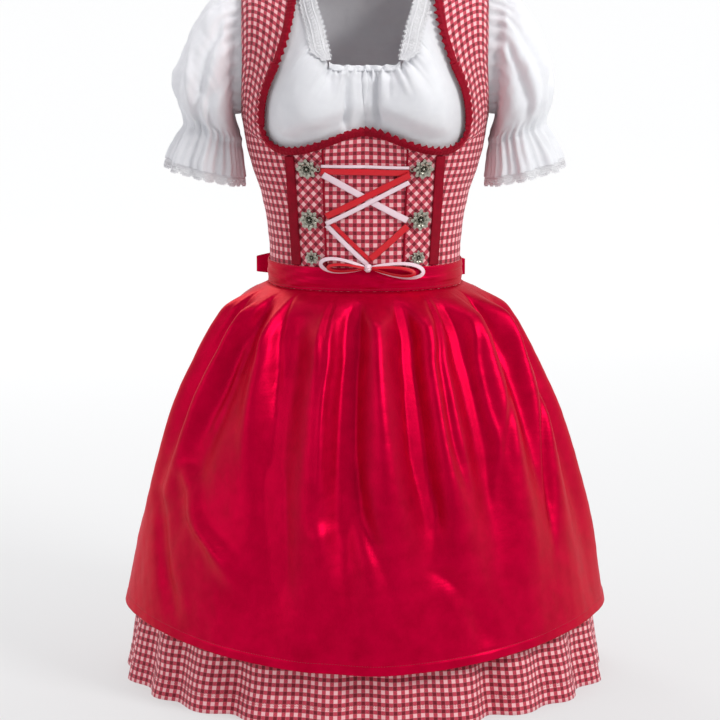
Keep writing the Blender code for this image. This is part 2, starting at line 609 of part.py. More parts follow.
def lacing_hooks(parent):
    for hook in HOOKS:
        points, faces = rosette(hook.radius)
        places = np.array([on_front(hook.side + p[0], hook.height + p[1]) for p in points])
        shaped = form(places[:, 0], places[:, 1], BODICE_OUT + hook.lift + points[:, 2])
        solid(f"hook_{hook.name}_left", shaped, faces, "metal", parent)
        solid(f"hook_{hook.name}_right", mirrored(shaped), faces, "metal", parent)


def lacing(parent):
    for stretch in LACING:
        line = np.linspace(stretch.start, stretch.end, 7)
        strip(
            f"lace_{stretch.name}", line, stretch.width, stretch.lift, RIBBON_CLOTH, stretch.colour, parent
        )


def ball(name, centre, reach, colour, parent, around=10, up=6):
    """A closed rounded knot."""
    mesh = bpy.data.meshes.new(name)
    bm = bmesh.new()
    bmesh.ops.create_uvsphere(bm, u_segments=around, v_segments=up, radius=1.0)
    bmesh.ops.transform(bm, matrix=Matrix.Diagonal((*reach, 1.0)), verts=bm.verts)
    bm.to_mesh(mesh)
    bm.free()
    add_object(name, mesh, colour, parent).location = centre


def free_ribbon(name, path, across, width, thickness, colour, parent):
    """A ribbon clear of the cloth, from the line of its middle and its width's direction."""
    across = across / np.linalg.norm(across, axis=1, keepdims=True)
    halves = np.array([-0.5, 0.5])
    grid = path[:, None, :] + across[:, None, :] * (np.reshape(width, (-1, 1)) * halves)[..., None]
    normal = np.cross(np.gradient(path, axis=0), across)
    normal /= np.linalg.norm(normal, axis=1, keepdims=True)
    step = normal[:, None, :] * thickness / 2
    cloth_grid(name, grid + step, grid - step, colour, parent)


def band_front(side):
    """How far forward the waistband's face is at a place seen from the front."""
    waist = SKIRT[0]
    share = (np.abs(side) / waist.half_width) ** waist.squareness
    return waist.front * (1 - share) ** (1 / waist.squareness) + BAND_LIFT + BAND_CLOTH + BAND_SWELL


def lace_bow(parent):
    """The bow of the lacing, of a white and a red ribbon tied as one."""
    ball("lace_knot", KNOT, LACE_KNOT_REACH, "white", parent)
    for loop in LACE_LOOPS:
        turns = np.linspace(*LACE_LOOP_TURNS, 13) * 2 * math.pi
        out = 0.5 * (1 - np.cos(turns))
        side = KNOT.x + math.copysign(LACE_LOOP_START, loop.reach) + loop.reach * out
        height = KNOT.z + loop.drop * out + loop.swell * np.sin(turns) * np.sqrt(out + 0.05)
        depth = -band_front(side) - loop.front
        across = np.tile(LACE_LOOP_ACROSS, (len(side), 1))
        path = np.column_stack([side, depth, height])
        free_ribbon(
            f"lace_loop_{loop.name}", path, across, loop.width, RIBBON_CLOTH, loop.colour, parent
        )


SKIRT_AT = through([-h.height for h in SKIRT], [h[1:] for h in SKIRT])


def hoop_points(angle, height):
    half_width, front, back, square = np.moveaxis(SKIRT_AT(-np.asarray(height, float)), -1, 0)
    across = np.sign(np.cos(angle)) * np.abs(np.cos(angle)) ** (2 / square)
    deep = np.sign(np.sin(angle)) * np.abs(np.sin(angle)) ** (2 / square)
    y = -np.where(deep > 0, front, back) * deep
    return np.stack([half_width * across, y, np.broadcast_to(height, y.shape)], axis=-1)


def hoop(angle, height):
    """The skirt's outermost line at an angle and a height, and the way out from it."""
    step = 0.004
    turn = hoop_points(angle + step, height) - hoop_points(angle - step, height)
    out = np.stack([-turn[..., 1], turn[..., 0], 0 * turn[..., 0]], axis=-1)
    base = hoop_points(angle, height)
    out *= np.sign(np.sum(out[..., :2] * base[..., :2], axis=-1))[..., None]
    return base, out / np.linalg.norm(out, axis=-1, keepdims=True)


def bump(angle, centre, width):
    """A smooth hump of height one, at an angle in degrees."""
    off = (np.degrees(angle) - centre + 180) % 360 - 180
    return np.exp(-((off / width) ** 2))


def skirt_point(angle, height, inset=0.0):
    """The skirt's outer face: its troughs grow from nothing at the waist to the hem."""
    base, normal = hoop(angle, height)
    down = (WAIST - height) / (WAIST - SKIRT_HEM)
    trough = sum(
        f.depth * bump(angle, f.at_waist + (f.at_hem - f.at_waist) * down, f.width) for f in SKIRT_FOLDS
    )
    grown = eased((down - 0.045) / 0.25) * (0.45 + 0.55 * down)
    return base - normal * (trough * grown + inset)[..., None]


def skirt(parent):
    for name, start in (("front", 0.0), ("back", 180.0)):
        angles = np.radians(start + np.linspace(SKIRT_GAP, 180 - SKIRT_GAP, 38))
        angle, height = np.meshgrid(angles, SKIRT_HEIGHTS)
        cloth_grid(
            f"skirt_{name}",
            skirt_point(angle, height), skirt_point(angle, height, SKIRT_CLOTH), "gingham", parent,
        )


def apron_point(angle, share, inset=0.0):
    """The apron's outer face. Share runs from the waistband to the hem."""
    centre, side = APRON_HEM
    foot = centre + (side - centre) * eased(np.abs(np.degrees(angle) - 90) / 75)
    top = BAND_FOOT - SEAM
    base, normal = hoop(angle, top + (foot - top) * share)
    lift = APRON_LIFT
    for p in APRON_PLEATS:
        centre = p.at_waist + (p.at_hem - p.at_waist) * share
        life = eased((share - p.start + 0.02) / 0.10) * (1 - eased((share - 0.35 * p.end) / (0.65 * p.end)))
        lift = lift + p.height * life * bump(angle, centre, p.width * (1.0 + 0.3 * share))
    lift = np.maximum(lift, 0.0045)
    settled = eased(share / 0.07)
    return base + normal * (APRON_TOP_LIFT + (lift - APRON_TOP_LIFT) * settled - inset)[..., None]


def apron(parent):
    angles = np.radians(np.linspace(*APRON_ENDS, 53))
    angle, share = np.meshgrid(angles, APRON_SHARES)
    cloth_grid(
        "apron_skirt", apron_point(angle, share), apron_point(angle, share, APRON_CLOTH), "satin", parent
    )


def band_point(angle, height, inset=0.0):
    """The waistband's outer face, a little rounded from edge to edge."""
    base, normal = hoop(angle, np.full_like(height, WAIST - WAIST_SEAM))
    base[..., 2] = height
    swell = BAND_SWELL * np.sin(np.pi * (height - BAND_FOOT) / (BAND_TOP - BAND_FOOT))
    return base + normal * (BAND_LIFT + BAND_CLOTH + swell - inset)[..., None]


def apron_band(parent):
    """The waistband across the front, and the ties that go on round the back."""
    spans = (
        ("apron_waistband", -12.0, 192.0, 33),
        ("apron_tie_left", -88.0, -12.2, 12),
        ("apron_tie_right", 192.2, 268.0, 12),
    )
    for name, start, end, count in spans:
        heights = np.linspace(BAND_FOOT, BAND_TOP, 3)
        angle, height = np.meshgrid(np.radians(np.linspace(start, end, count)), heights)
        cloth_grid(
            name, band_point(angle, height), band_point(angle, height, BAND_CLOTH), "satin", parent
        )


def apron_bow(parent):
    """The ties knotted behind, with two loops and two hanging ends."""
    ball("apron_knot", APRON_KNOT, BOW_KNOT_REACH, "satin", parent, 12, 8)
    for loop in BOW_LOOPS:
        turns = np.linspace(0.0, 1.0, 15) * 2 * math.pi
        out = 0.5 * (1 - np.cos(turns))
        side = APRON_KNOT.x + math.copysign(BOW_LOOP_START, loop.reach) + loop.reach * out
        bulge = np.sin(turns)
        depth = APRON_KNOT.y + np.where(bulge > 0, *BOW_BULGE) * bulge - BOW_SETTLE * out
        depth[0] += APRON_CLOTH
        depth[-1] -= APRON_CLOTH
        path = np.column_stack([side, depth, APRON_KNOT.z + loop.drop * out])
        across = np.column_stack([0 * out, -0.10 * bulge, np.ones(len(out))])
        width = BOW_WIDTH[0] + BOW_WIDTH[1] * out
        free_ribbon(f"apron_loop_{loop.name}", path, across, width, APRON_CLOTH, "satin", parent)
    for tail in BOW_TAILS:
        foot = BAND_FOOT - tail.length
        heights = np.array([BAND_FOOT - 0.003, *(h for h in SKIRT_HEIGHTS[2:] if h > foot), foot])
        share = ((heights[0] - heights) / tail.length)[:, None]
        middle = 270 + tail.lean * (TAIL_TURN[0] + TAIL_TURN[1] * share)
        width, radius = (low + gain * share for low, gain in (TAIL_WIDTH, TAIL_RADIUS))
        angle = np.radians(middle + np.degrees(width / (2 * radius)) * np.array([-1.0, 0.0, 1.0]))
        height = np.repeat(heights[:, None], 3, axis=1)
        base, normal = hoop(angle, height)
        skins = [base + normal * lift for lift in (TAIL_LIFT + APRON_CLOTH, TAIL_LIFT)]
        cloth_grid(f"apron_tail_{tail.name}", *skins, "satin", parent)


def sleeve_point(along, around, out=0.0):
    """The left sleeve's outer face. Around is 0 on its outer line and grows to the front."""
    along, around = np.broadcast_arrays(np.asarray(along, float), np.asarray(around, float))
    row = SLEEVE_AT(along)
    outer = np.stack([row[..., 0], 0 * along, row[..., 1]], axis=-1)
    inner = np.stack([row[..., 2], 0 * along, row[..., 3]], axis=-1)
    centre, reach = (outer + inner) / 2, (outer - inner) / 2
    size = np.linalg.norm(reach, axis=-1)
    clear_of_bodice = 0.30 + 0.70 * eased(np.cos(around) + 0.9)
    folds = row[..., 5] * np.cos(SLEEVE_GATHERS * around)
    folds = folds + row[..., 6] * np.cos(SLEEVE_SOFT_FOLDS * around + 0.6 + 1.5 * along)
    grow = out + folds * clear_of_bodice
    across = reach / size[..., None] * ((size + grow) * np.cos(around))[..., None]
    forward = np.stack([0 * along, -(row[..., 4] + grow) * np.sin(around), 0 * along], axis=-1)
    return centre + across + forward


SLEEVE_AT = through(
    [c.along for c in SLEEVE],
    [[*c.outer, *c.inner, c.half_depth, c.gather, c.flute] for c in SLEEVE],
)


def lining_of(outer, thickness):
    """The inner skin of a tube of cloth, set in along the cloth's own normals."""
    along = np.gradient(outer, axis=0)
    across = np.roll(outer, -1, axis=1) - np.roll(outer, 1, axis=1)
    normal = np.cross(along, across)
    normal /= np.linalg.norm(normal, axis=-1, keepdims=True)
    spread = outer - outer.mean(axis=1, keepdims=True)
    return outer - normal * math.copysign(thickness, np.sum(normal * spread))


def sleeve_head(around):
    """Where the sleeve is set into the blouse's armhole, as seen from the side."""
    oval = BLOUSE_ARMHOLE
    places = []
    for t in around:
        depth = -oval.half_depth * math.sin(t)
        height = oval.centre + oval.half_height * math.cos(t)
        places.append(form(*on_side(depth, height)) + np.array([SLEEVE_SET, 0.0, 0.0]))
    return np.array(places)


def sleeves(parent):
    around = np.linspace(0, 2 * math.pi, 4 * SLEEVE_GATHERS, endpoint=False)
    outer = np.stack([sleeve_head(around)] + [sleeve_point(a, around) for a in SLEEVE_RINGS])
    inner = lining_of(outer, SLEEVE_CLOTH)
    inner[-1] = sleeve_point(SLEEVE_RINGS[-1], around, -SLEEVE_CLOTH)
    skins = (outer, inner)
    cloth_grid("sleeve_left", *skins, "cotton", parent, tube=True)
    cloth_grid("sleeve_right", *(mirrored(skin) for skin in skins), "cotton", parent, tube=True)


def cuff_lace(parent):
    """The scalloped lace under each flounce, in a front and a back half."""
    names = list(SCALLOP)
    half = CUFF_SCALLOPS // 2
    pitch = 2 * math.pi / CUFF_SCALLOPS
    first, last = LACE_SPAN
    for part, start in (("front", 0.0), ("back", math.pi)):
        along, around, faces = [], [], []
        for k in range(half + 1):
            for name in names if k < half else names[:2]:
                share, down = SCALLOP[name]
                gap = LACE_GAP * ((k == 0 and share == 0) - (k == half))
                along.append(first + (last - first) * down)
                around.append(start + (k + share) * pitch + gap)
            if k < half:
                index = {n: k * len(names) + i for i, n in enumerate(names)}
                index["next_top"] = (k + 1) * len(names)
                index["next_foot"] = (k + 1) * len(names) + 1
                faces += [tuple(index[n] for n in face) for face in SCALLOP_FACES]
        skins = [sleeve_point(np.array(along), np.array(around), out) for out in (0.0, -BLOUSE_CLOTH)]
        cloth(f"cuff_lace_left_{part}", *skins, faces, "lace", parent)
        cloth(f"cuff_lace_right_{part}", *(mirrored(skin) for skin in skins), faces, "lace", parent)


def neckline_depth(side, height):
    """How far a spot lies inside the dress's front neckline, in metres."""
    half = np.array(DRESS_NECK_FRONT)
    line = np.vstack([half[::-1] * [-1, 1], half[1:]])
    spot = np.stack([side, height], axis=-1)[..., None, :]
    first, step = line[:-1], np.diff(line, axis=0)
    share = np.clip(np.sum((spot - first) * step, axis=-1) / np.sum(step**2, axis=-1), 0, 1)
    distance = np.min(np.linalg.norm(spot - first - share[..., None] * step, axis=-1), axis=-1)
    bottom = np.interp(np.abs(side), half[:6, 0], half[:6, 1])
    wide = np.interp(height, half[7:, 1], half[7:, 0])
    within = (height > bottom) & (np.abs(side) < wide)
    return np.where(within, distance, 0.0)


def fullness(places):
    """How far the blouse puffs out of the dress's neckline at each (angle, over)."""
    bare = form(places[..., 0], places[..., 1])
    return PUFF * eased((neckline_depth(bare[..., 0], bare[..., 2]) - 0.010) / 0.028)


def blouse_half(neck, armhole, seam, at_back, rows, columns):
    """Half the blouse's front or back as (angle, over), from its neckline outwards."""
    bottom = on_front(0.0, BLOUSE_HEM, at_back)[1]
    hem = np.column_stack([np.linspace(0, math.pi / 2, 20), np.linspace(seam[-1, 1], bottom, 20)])
    outer = evenly(np.vstack([armhole, seam[1:], hem[1:]]), rows)
    neck = evenly(neck, rows)
    outer[:, 0] = np.maximum(outer[:, 0], SIDE_GAP)
    neck[0, 1] = outer[0, 1] = 1 + (SHOULDER_GAP if at_back else -SHOULDER_GAP)
    half = between(neck, outer, columns)
    other = half[::-1][1:] * np.array([-1, 1]) + np.array([math.pi, 0])
    return np.concatenate([half, other])


def blouse_body(parent):
    """The blouse's front, drawn up in gathers at the neckline, and its plain back."""
    seam = side_seam(BLOUSE_HEM, BLOUSE_ARMHOLE.centre - BLOUSE_ARMHOLE.half_height)[::-1]
    grid = blouse_half(
        neck_edge(BLOUSE_NECK_FRONT)[::-1], armhole_edge(BLOUSE_ARMHOLE)[::-1], seam, False, 22, 8
    )
    column = np.arange(len(grid))[:, None]
    row = np.linspace(0, 1, grid.shape[1])[None, :]
    middle = np.exp(-(((column - len(grid) // 2) / GATHER_SPREAD) ** 4))
    gathers = GATHER * np.where(column % 2, 1.0, -1.0) * (1 - eased(row / 0.45)) * middle
    held = eased(row / 0.14) * middle + (1 - middle)
    out = fullness(grid) * held + gathers + GATHER * middle * (1 - eased(row / 0.3))
    on_form("blouse_front", grid, out, BLOUSE_CLOTH, "cotton", parent)
    back = blouse_half(
        neck_edge(BLOUSE_NECK_BACK, behind=True)[::-1],
        armhole_edge(BLOUSE_ARMHOLE, behind=True)[::-1], behind(seam), True, 12, 6,
    )
    on_form("blouse_back", back, 0.0, BLOUSE_CLOTH, "cotton", parent)


def neck_lace(parent):
    """The lace sewn down each side of the blouse's neckline."""
    neck = np.array(BLOUSE_NECK_FRONT[3:])
    run = np.concatenate([[0], np.cumsum(np.linalg.norm(np.diff(neck, axis=0), axis=1))])
    line = through(run, neck)(np.linspace(0.004, run[-1] - 0.006, 15))
    wave = np.where(np.arange(15) % 2, 0.0012, -0.0012)
    edges = [
        [on_front(x + near + r, z - 0.12 * near) for (x, z), r in zip(line, ripple)]
        for near, ripple in ((-0.0015, -wave), (NECK_LACE / 2, 0 * wave), (NECK_LACE, wave))
    ]
    grid = np.array(edges).transpose(1, 0, 2)
    for mirror, word in ((False, "left"), (True, "right")):
        on_form(f"neck_lace_{word}", grid, fullness(grid) + 0.0030, BLOUSE_CLOTH, "lace", parent, mirror)


def main():
    for old in list(bpy.data.objects):
        bpy.data.objects.remove(old)
    whole = place("dirndl")
    dress, apron_set, blouse = (place(name, whole) for name in ("dress", "apron", "blouse"))
    bodice_front(dress)
    for mirror, word in ((False, "left"), (True, "right")):
        bodice_side(mirror, word, dress)
        bodice_back(mirror, word, dress)
    bands_and_piping(dress)
    neckline_trim(dress)
    lacing_hooks(dress)
    lacing(dress)
    lace_bow(dress)
    skirt(dress)
    apron(apron_set)
    apron_band(apron_set)
    apron_bow(apron_set)
    blouse_body(blouse)
    neck_lace(blouse)
    sleeves(blouse)
    cuff_lace(blouse)


main()
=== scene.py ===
import math

import bmesh
import bpy
import numpy as np
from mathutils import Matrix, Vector


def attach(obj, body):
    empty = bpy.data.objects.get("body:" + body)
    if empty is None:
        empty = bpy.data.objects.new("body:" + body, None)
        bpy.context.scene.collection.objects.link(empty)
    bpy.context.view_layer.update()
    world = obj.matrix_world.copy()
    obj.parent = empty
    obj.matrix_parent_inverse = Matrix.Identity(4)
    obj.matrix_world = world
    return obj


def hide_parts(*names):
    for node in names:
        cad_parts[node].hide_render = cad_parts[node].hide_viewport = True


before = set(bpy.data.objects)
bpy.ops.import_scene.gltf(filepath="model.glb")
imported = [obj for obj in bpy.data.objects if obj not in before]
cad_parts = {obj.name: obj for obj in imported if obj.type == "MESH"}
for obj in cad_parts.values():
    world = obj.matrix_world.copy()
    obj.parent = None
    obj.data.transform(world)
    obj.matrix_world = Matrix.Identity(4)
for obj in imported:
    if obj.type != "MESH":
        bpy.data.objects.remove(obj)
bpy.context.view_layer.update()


# Shader maths: a socket that takes part in sums
class Wire:
    def __init__(self, paint, socket):
        self.paint = paint
        self.socket = socket

    def __add__(self, other):
        return self.paint.maths("ADD", self, other)

    def __sub__(self, other):
        return self.paint.maths("SUBTRACT", self, other)

    def __rsub__(self, other):
        return self.paint.maths("SUBTRACT", other, self)

    def __mul__(self, other):
        return self.paint.maths("MULTIPLY", self, other)

    def __truediv__(self, other):
        return self.paint.maths("DIVIDE", self, other)

    __radd__ = __add__
    __rmul__ = __mul__

    def wave(self, length):  # -1 to 1, once in each length
        return self.paint.maths("SINE", self * (2 * math.pi / length))

    def part(self):  # what is left above the whole number
        return self.paint.maths("FRACT", self)

    def size(self):
        return self.paint.maths("ABSOLUTE", self)

    def limited(self):  # held between 0 and 1
        return self.paint.node("ShaderNodeClamp", {}, {"Value": self})


class Paint:  # one material and its node tree
    def __init__(self, name, **constants):
        self.material = bpy.data.materials.new(name)
        self.material.use_nodes = True
        self.tree = self.material.node_tree
        self.shader = self.tree.nodes["Principled BSDF"]
        self.set(self.shader, constants)

    def set(self, node, values):
        for key, value in values.items():
            socket = node.inputs[key.replace("_", " ") if isinstance(key, str) else key]
            if isinstance(value, Wire):
                self.tree.links.new(value.socket, socket)
            elif isinstance(value, tuple) and len(value) == 3 and socket.type == "RGBA":
                socket.default_value = (*value, 1.0)
            else:
                socket.default_value = value

    def node(self, kind, settings, values, output=0):
        made = self.tree.nodes.new(kind)
        for key, value in settings.items():
            setattr(made, key, value)
        self.set(made, values)
        return Wire(self, made.outputs[output])

    def maths(self, operation, *values):
        return self.node("ShaderNodeMath", {"operation": operation}, dict(enumerate(values)))

    def mixed(self, share, first, second):  # colours
        return self.node(
            "ShaderNodeMix", {"data_type": "RGBA"}, {0: share, 6: first, 7: second}, 2
        )

    def clothPlace(self):  # metres across and along the cut piece
        place = self.node("ShaderNodeUVMap", {"uv_map": "cloth"}, {})
        split = self.tree.nodes.new("ShaderNodeSeparateXYZ")
        self.tree.links.new(place.socket, split.inputs[0])
        return Wire(self, split.outputs[0]), Wire(self, split.outputs[1])

    def clouds(self, scale, detail=3.0, rough=0.55):  # noise over the object's own place
        place = self.node("ShaderNodeTexCoord", {}, {}, "Object")
        return self.node(
            "ShaderNodeTexNoise", {}, {"Vector": place, "Scale": scale, "Detail": detail, "Roughness": rough}
        )

    def relief(self, height, distance, strength=1.0):
        bumped = self.node(
            "ShaderNodeBump", {}, {"Height": height, "Distance": distance, "Strength": strength}
        )
        self.set(self.shader, {"Normal": bumped})


def tint(red, green, blue):  # a screen colour, 0 to 255, as Blender's linear light
    def linear(value):
        share = value / 255
        return share / 12.92 if share <= 0.04045 else ((share + 0.055) / 1.055) ** 2.4

    return linear(red), linear(green), linear(blue)


gingham = {
    "check": 0.0110,  # one dark and one light stripe, metres
    "thread": 0.00055,
    "soft": 0.00045,  # how far a stripe's edge blurs
    "light": tint(255, 206, 206),
    "lightPink": tint(252, 182, 188),
    "midLight": tint(224, 84, 104),
    "midDark": tint(178, 22, 52),
    "dark": tint(122, 0, 30),
}


def makeGingham():
    g = gingham
    paint = Paint("gingham", Roughness=0.82, Sheen_Weight=0.15, Sheen_Roughness=0.5)
    across, along = paint.clothPlace()
    crisp = g["check"] / g["soft"]

    def stripe(place):  # 1 on the red threads, 0 on the white
        middle = ((place / g["check"]).part() - 0.5).size()
        return ((middle - 0.25) * crisp + 0.5).limited()

    warp, weft = stripe(across), stripe(along)
    over = across.wave(2 * g["thread"]) * along.wave(2 * g["thread"])
    onTop = (over * 2.5 + 0.5).limited()
    either = warp + weft - 2 * warp * weft
    mottle = paint.clouds(55.0)
    light = paint.mixed(mottle, g["light"], g["lightPink"])
    mid = paint.mixed(onTop, g["midLight"], g["midDark"])
    cloth = paint.mixed(warp * weft, paint.mixed(either, light, mid), g["dark"])
    paint.set(paint.shader, {"Base Color": cloth})
    paint.relief(over * 0.35 + paint.clouds(90.0) * 0.8, 0.00025, 0.8)
    return paint.material


def makeVelvet():
    paint = Paint(
        "darkRedVelvet", Roughness=0.70, Sheen_Weight=0.5, Sheen_Roughness=0.35,
        Sheen_Tint=tint(240, 20, 60), Specular_IOR_Level=0.15,
    )
    pile = paint.clouds(900.0, 2.0)
    brushed = paint.clouds(70.0)
    colour = paint.mixed(brushed, tint(122, 0, 24), tint(186, 0, 42))
    paint.set(paint.shader, {"Base Color": paint.mixed(pile * 0.5, colour, tint(70, 0, 14))})
    paint.relief(pile + brushed * 2.0, 0.0004)
    return paint.material


satin = {
    "thread": 0.0008,
    "deep": tint(166, 0, 38),
    "bright": tint(216, 0, 60),
}


def makeSatin():
    paint = Paint(
        "redSatin", Metallic=0.5, Sheen_Weight=0.25, Sheen_Roughness=0.30, Sheen_Tint=tint(255, 0, 60),
        Specular_IOR_Level=0.30, Specular_Tint=tint(255, 60, 100),
    )
    across, along = paint.clothPlace()
    thread = across.wave(satin["thread"]) * 0.5 + along.wave(satin["thread"] * 6.3) * 0.2
    slubs = paint.clouds(38.0, 4.0, 0.6)
    colour = paint.mixed(slubs, satin["deep"], satin["bright"])
    paint.set(paint.shader, {"Base Color": colour, "Roughness": slubs * 0.12 + 0.33})
    paint.relief(thread * 0.06 + slubs * 1.0, 0.0007, 0.8)
    return paint.material


def makeCotton():
    paint = Paint(
        "whiteCotton", Roughness=0.78, Sheen_Weight=0.2, Sheen_Roughness=0.5, Specular_IOR_Level=0.3
    )
    across, along = paint.clothPlace()
    weave = across.wave(0.0011) * along.wave(0.0011)
    slubs = paint.clouds(60.0, 4.0)
    paint.set(paint.shader, {"Base Color": paint.mixed(slubs, tint(236, 237, 242), tint(248, 249, 252))})
    paint.relief(weave * 0.25 + slubs * 1.6, 0.0005)
    return paint.material


lace = {
    "mesh": 0.0022,  # from one net hole to the next
    "motif": 0.0074,
}


def makeLace():
    paint = Paint("cottonLace", Roughness=0.75, Sheen_Weight=0.15, Specular_IOR_Level=0.3)
    across, along = paint.clothPlace()
    net = across.wave(lace["mesh"]) * along.wave(lace["mesh"])
    flower = across.wave(lace["motif"]) * along.wave(lace["motif"])
    leaf = across.wave(lace["motif"] * 0.5) + along.wave(lace["motif"] * 1.5)
    solid = ((flower.size() + leaf * 0.22 - 0.42) * 9.0).limited()
    threads = ((net.size() * -1.0 + 0.62) * 9.0).limited()
    cover = (solid + threads).limited()
    cloud = paint.clouds(80.0)
    paint.set(paint.shader, {
        "Base Color": paint.mixed(cloud, tint(232, 232, 236), tint(249, 249, 251)), "Alpha": cover,
    })
    paint.relief(solid * 0.7 + threads * 0.5, 0.0005)
    return paint.material


def makeLaceThread():
    paint = Paint("laceThread", Roughness=0.7, Sheen_Weight=0.2, Specular_IOR_Level=0.3)
    twist = paint.clouds(1400.0, 2.0)
    paint.set(paint.shader, {"Base Color": paint.mixed(twist, tint(226, 226, 231), tint(251, 251, 252))})
    paint.relief(twist, 0.0002)
    return paint.material


def makeRibbon(name, light, dark, rib=0.0007):
    paint = Paint(name, Sheen_Weight=0.2, Sheen_Roughness=0.35, Specular_IOR_Level=0.5)
    across, along = paint.clothPlace()
    ribs = along.wave(rib)
    edge = ((across.size() - 0.82) * 12.0).limited()  # across runs -1 to 1 on a ribbon
    cloud = paint.clouds(120.0)
    paint.set(paint.shader, {
        "Base Color": paint.mixed(edge * 0.35 + cloud * 0.3, light, dark), "Roughness": cloud * 0.15 + 0.30,
    })
    paint.relief(ribs * 0.12 + edge * 0.8 + cloud * 0.6, 0.0003)
    return paint.material


def makeStitch(name, colour):
    paint = Paint(name, Roughness=0.6, Sheen_Weight=0.2)
    twist = paint.clouds(1600.0, 2.0)
    dull = tuple(0.7 * c for c in colour)
    paint.set(paint.shader, {"Base Color": paint.mixed(twist, dull, colour)})
    return paint.material


def makeSilver():
    paint = Paint("oldSilver", Metallic=1.0)
    tarnish = paint.clouds(260.0, 4.0)
    hollow = paint.node("ShaderNodeAttribute", {"attribute_name": "hollow"}, {}, "Fac")
    worn = (hollow + tarnish * 0.5 - 0.2).limited()
    paint.set(paint.shader, {
        "Base Color": paint.mixed(worn, tint(196, 194, 180), tint(36, 34, 20)),
        "Roughness": worn * 0.25 + 0.28,
    })
    paint.relief(tarnish, 0.0003, 0.6)
    return paint.material


finish = {
    "gingham": makeGingham(),
    "velvet": makeVelvet(),
    "satin": makeSatin(),
    "cotton": makeCotton(),
    "lace": makeLace(),
    "laceThread": makeLaceThread(),
    "white": makeRibbon("whiteRibbon", tint(250, 226, 234), tint(222, 170, 188)),
    "red": makeRibbon("redRibbon", tint(222, 0, 28), tint(168, 0, 22)),
    "redThread": makeStitch("redThread", tint(170, 10, 40)),
    "whiteThread": makeStitch("whiteThread", tint(244, 244, 248)),
    "silver": makeSilver(),
}
print("finishes made")


# Geometry Nodes
class Recipe:  # one tree with its named inputs
    def __init__(self, name, inputs):
        self.tree = bpy.data.node_groups.new(name, "GeometryNodeTree")
        sockets = self.tree.interface
        sockets.new_socket("Geometry", in_out="INPUT", socket_type="NodeSocketGeometry")
        for label, kind in inputs.items():
            sockets.new_socket(label, in_out="INPUT", socket_type="NodeSocket" + kind)
        sockets.new_socket("Geometry", in_out="OUTPUT", socket_type="NodeSocketGeometry")
        self.given = self.tree.nodes.new("NodeGroupInput").outputs
        self.result = self.tree.nodes.new("NodeGroupOutput").inputs[0]

    def node(self, kind, settings, values, output=0):
        made = self.tree.nodes.new(kind)
        for key, value in settings.items():
            setattr(made, key, value)
        for key, value in values.items():
            if isinstance(value, bpy.types.NodeSocket):
                self.tree.links.new(value, made.inputs[key])
            else:
                made.inputs[key].default_value = value
        return made.outputs[output]

    def sum(self, operation, *values):
        return self.node("ShaderNodeMath", {"operation": operation}, dict(enumerate(values)))

    def end(self, geometry, material):
        real = self.node("GeometryNodeRealizeInstances", {}, {0: geometry})
        painted = self.node("GeometryNodeSetMaterial", {}, {"Geometry": real, "Material": material})
        self.tree.links.new(painted, self.result)


def stitchRecipe():  # threads in a row along a line of edges
    made = Recipe("stitchRow", {"Pitch": "Float", "Thread": "Float", "Length": "Float", "Cloth": "Material"})
    given = made.given
    line = made.node("GeometryNodeMeshToCurve", {}, {0: given["Geometry"]})
    even = made.node(
        "GeometryNodeResampleCurve", {"mode": "LENGTH"}, {"Curve": line, "Length": given["Pitch"]}
    )
    ball = made.node("GeometryNodeMeshUVSphere", {}, {"Segments": 6, "Rings": 4, "Radius": 1.0})
    long = made.sum("MULTIPLY", given["Length"], 0.5)
    size = made.node("ShaderNodeCombineXYZ", {}, {0: given["Thread"], 1: given["Thread"], 2: long})
    thread = made.node("GeometryNodeTransform", {}, {"Geometry": ball, "Scale": size})
    tangent = made.node("GeometryNodeInputTangent", {}, {})
    turn = made.node("FunctionNodeAlignRotationToVector", {"axis": "Z"}, {"Vector": tangent})
    laid = made.node("GeometryNodeInstanceOnPoints", {}, {
        "Points": even, "Instance": thread, "Rotation": turn,
    })
    made.end(laid, given["Cloth"])
    return made


def cordRecipe():  # a round thread or wire along every line of edges
    made = Recipe("roundThread", {"Radius": "Float", "Sides": "Int", "Cloth": "Material"})
    given = made.given
    line = made.node("GeometryNodeMeshToCurve", {}, {0: given["Geometry"]})
    ring = made.node("GeometryNodeCurvePrimitiveCircle", {}, {
        "Resolution": given["Sides"], "Radius": given["Radius"],
    })
    tube = made.node("GeometryNodeCurveToMesh", {}, {
        "Curve": line, "Profile Curve": ring, "Fill Caps": True,
    })
    made.end(tube, given["Cloth"])
    return made


def gatherRecipe():  # fine gathers across a sheet: "round" counts along them, "hold" says how strong
    made = Recipe("gathers", {
        "Count": "Float", "Depth": "Float", "Wander": "Float", "Seed": "Float", "Cloth": "Material",
    })
    given = made.given
    turn = made.node("GeometryNodeInputNamedAttribute", {"data_type": "FLOAT"}, {"Name": "round"})
    hold = made.node("GeometryNodeInputNamedAttribute", {"data_type": "FLOAT"}, {"Name": "hold"})
    drift = made.node("ShaderNodeTexNoise", {"noise_dimensions": "4D"}, {
        "W": given["Seed"], "Scale": 14.0, "Detail": 1.0,
    })
    wander = made.sum("MULTIPLY", made.sum("SUBTRACT", drift, 0.5), given["Wander"])
    phase = made.sum("ADD", made.sum("MULTIPLY", turn, given["Count"]), wander)
    wave = made.sum("SINE", made.sum("MULTIPLY", phase, 2 * math.pi))
    deep = made.sum("MULTIPLY", made.sum("MULTIPLY", wave, hold), given["Depth"])
    normal = made.node("GeometryNodeInputNormal", {}, {})
    push = made.node("ShaderNodeVectorMath", {"operation": "SCALE"}, {0: normal, "Scale": deep})
    moved = made.node("GeometryNodeSetPosition", {}, {"Geometry": given["Geometry"], "Offset": push})
    made.end(moved, given["Cloth"])
    return made


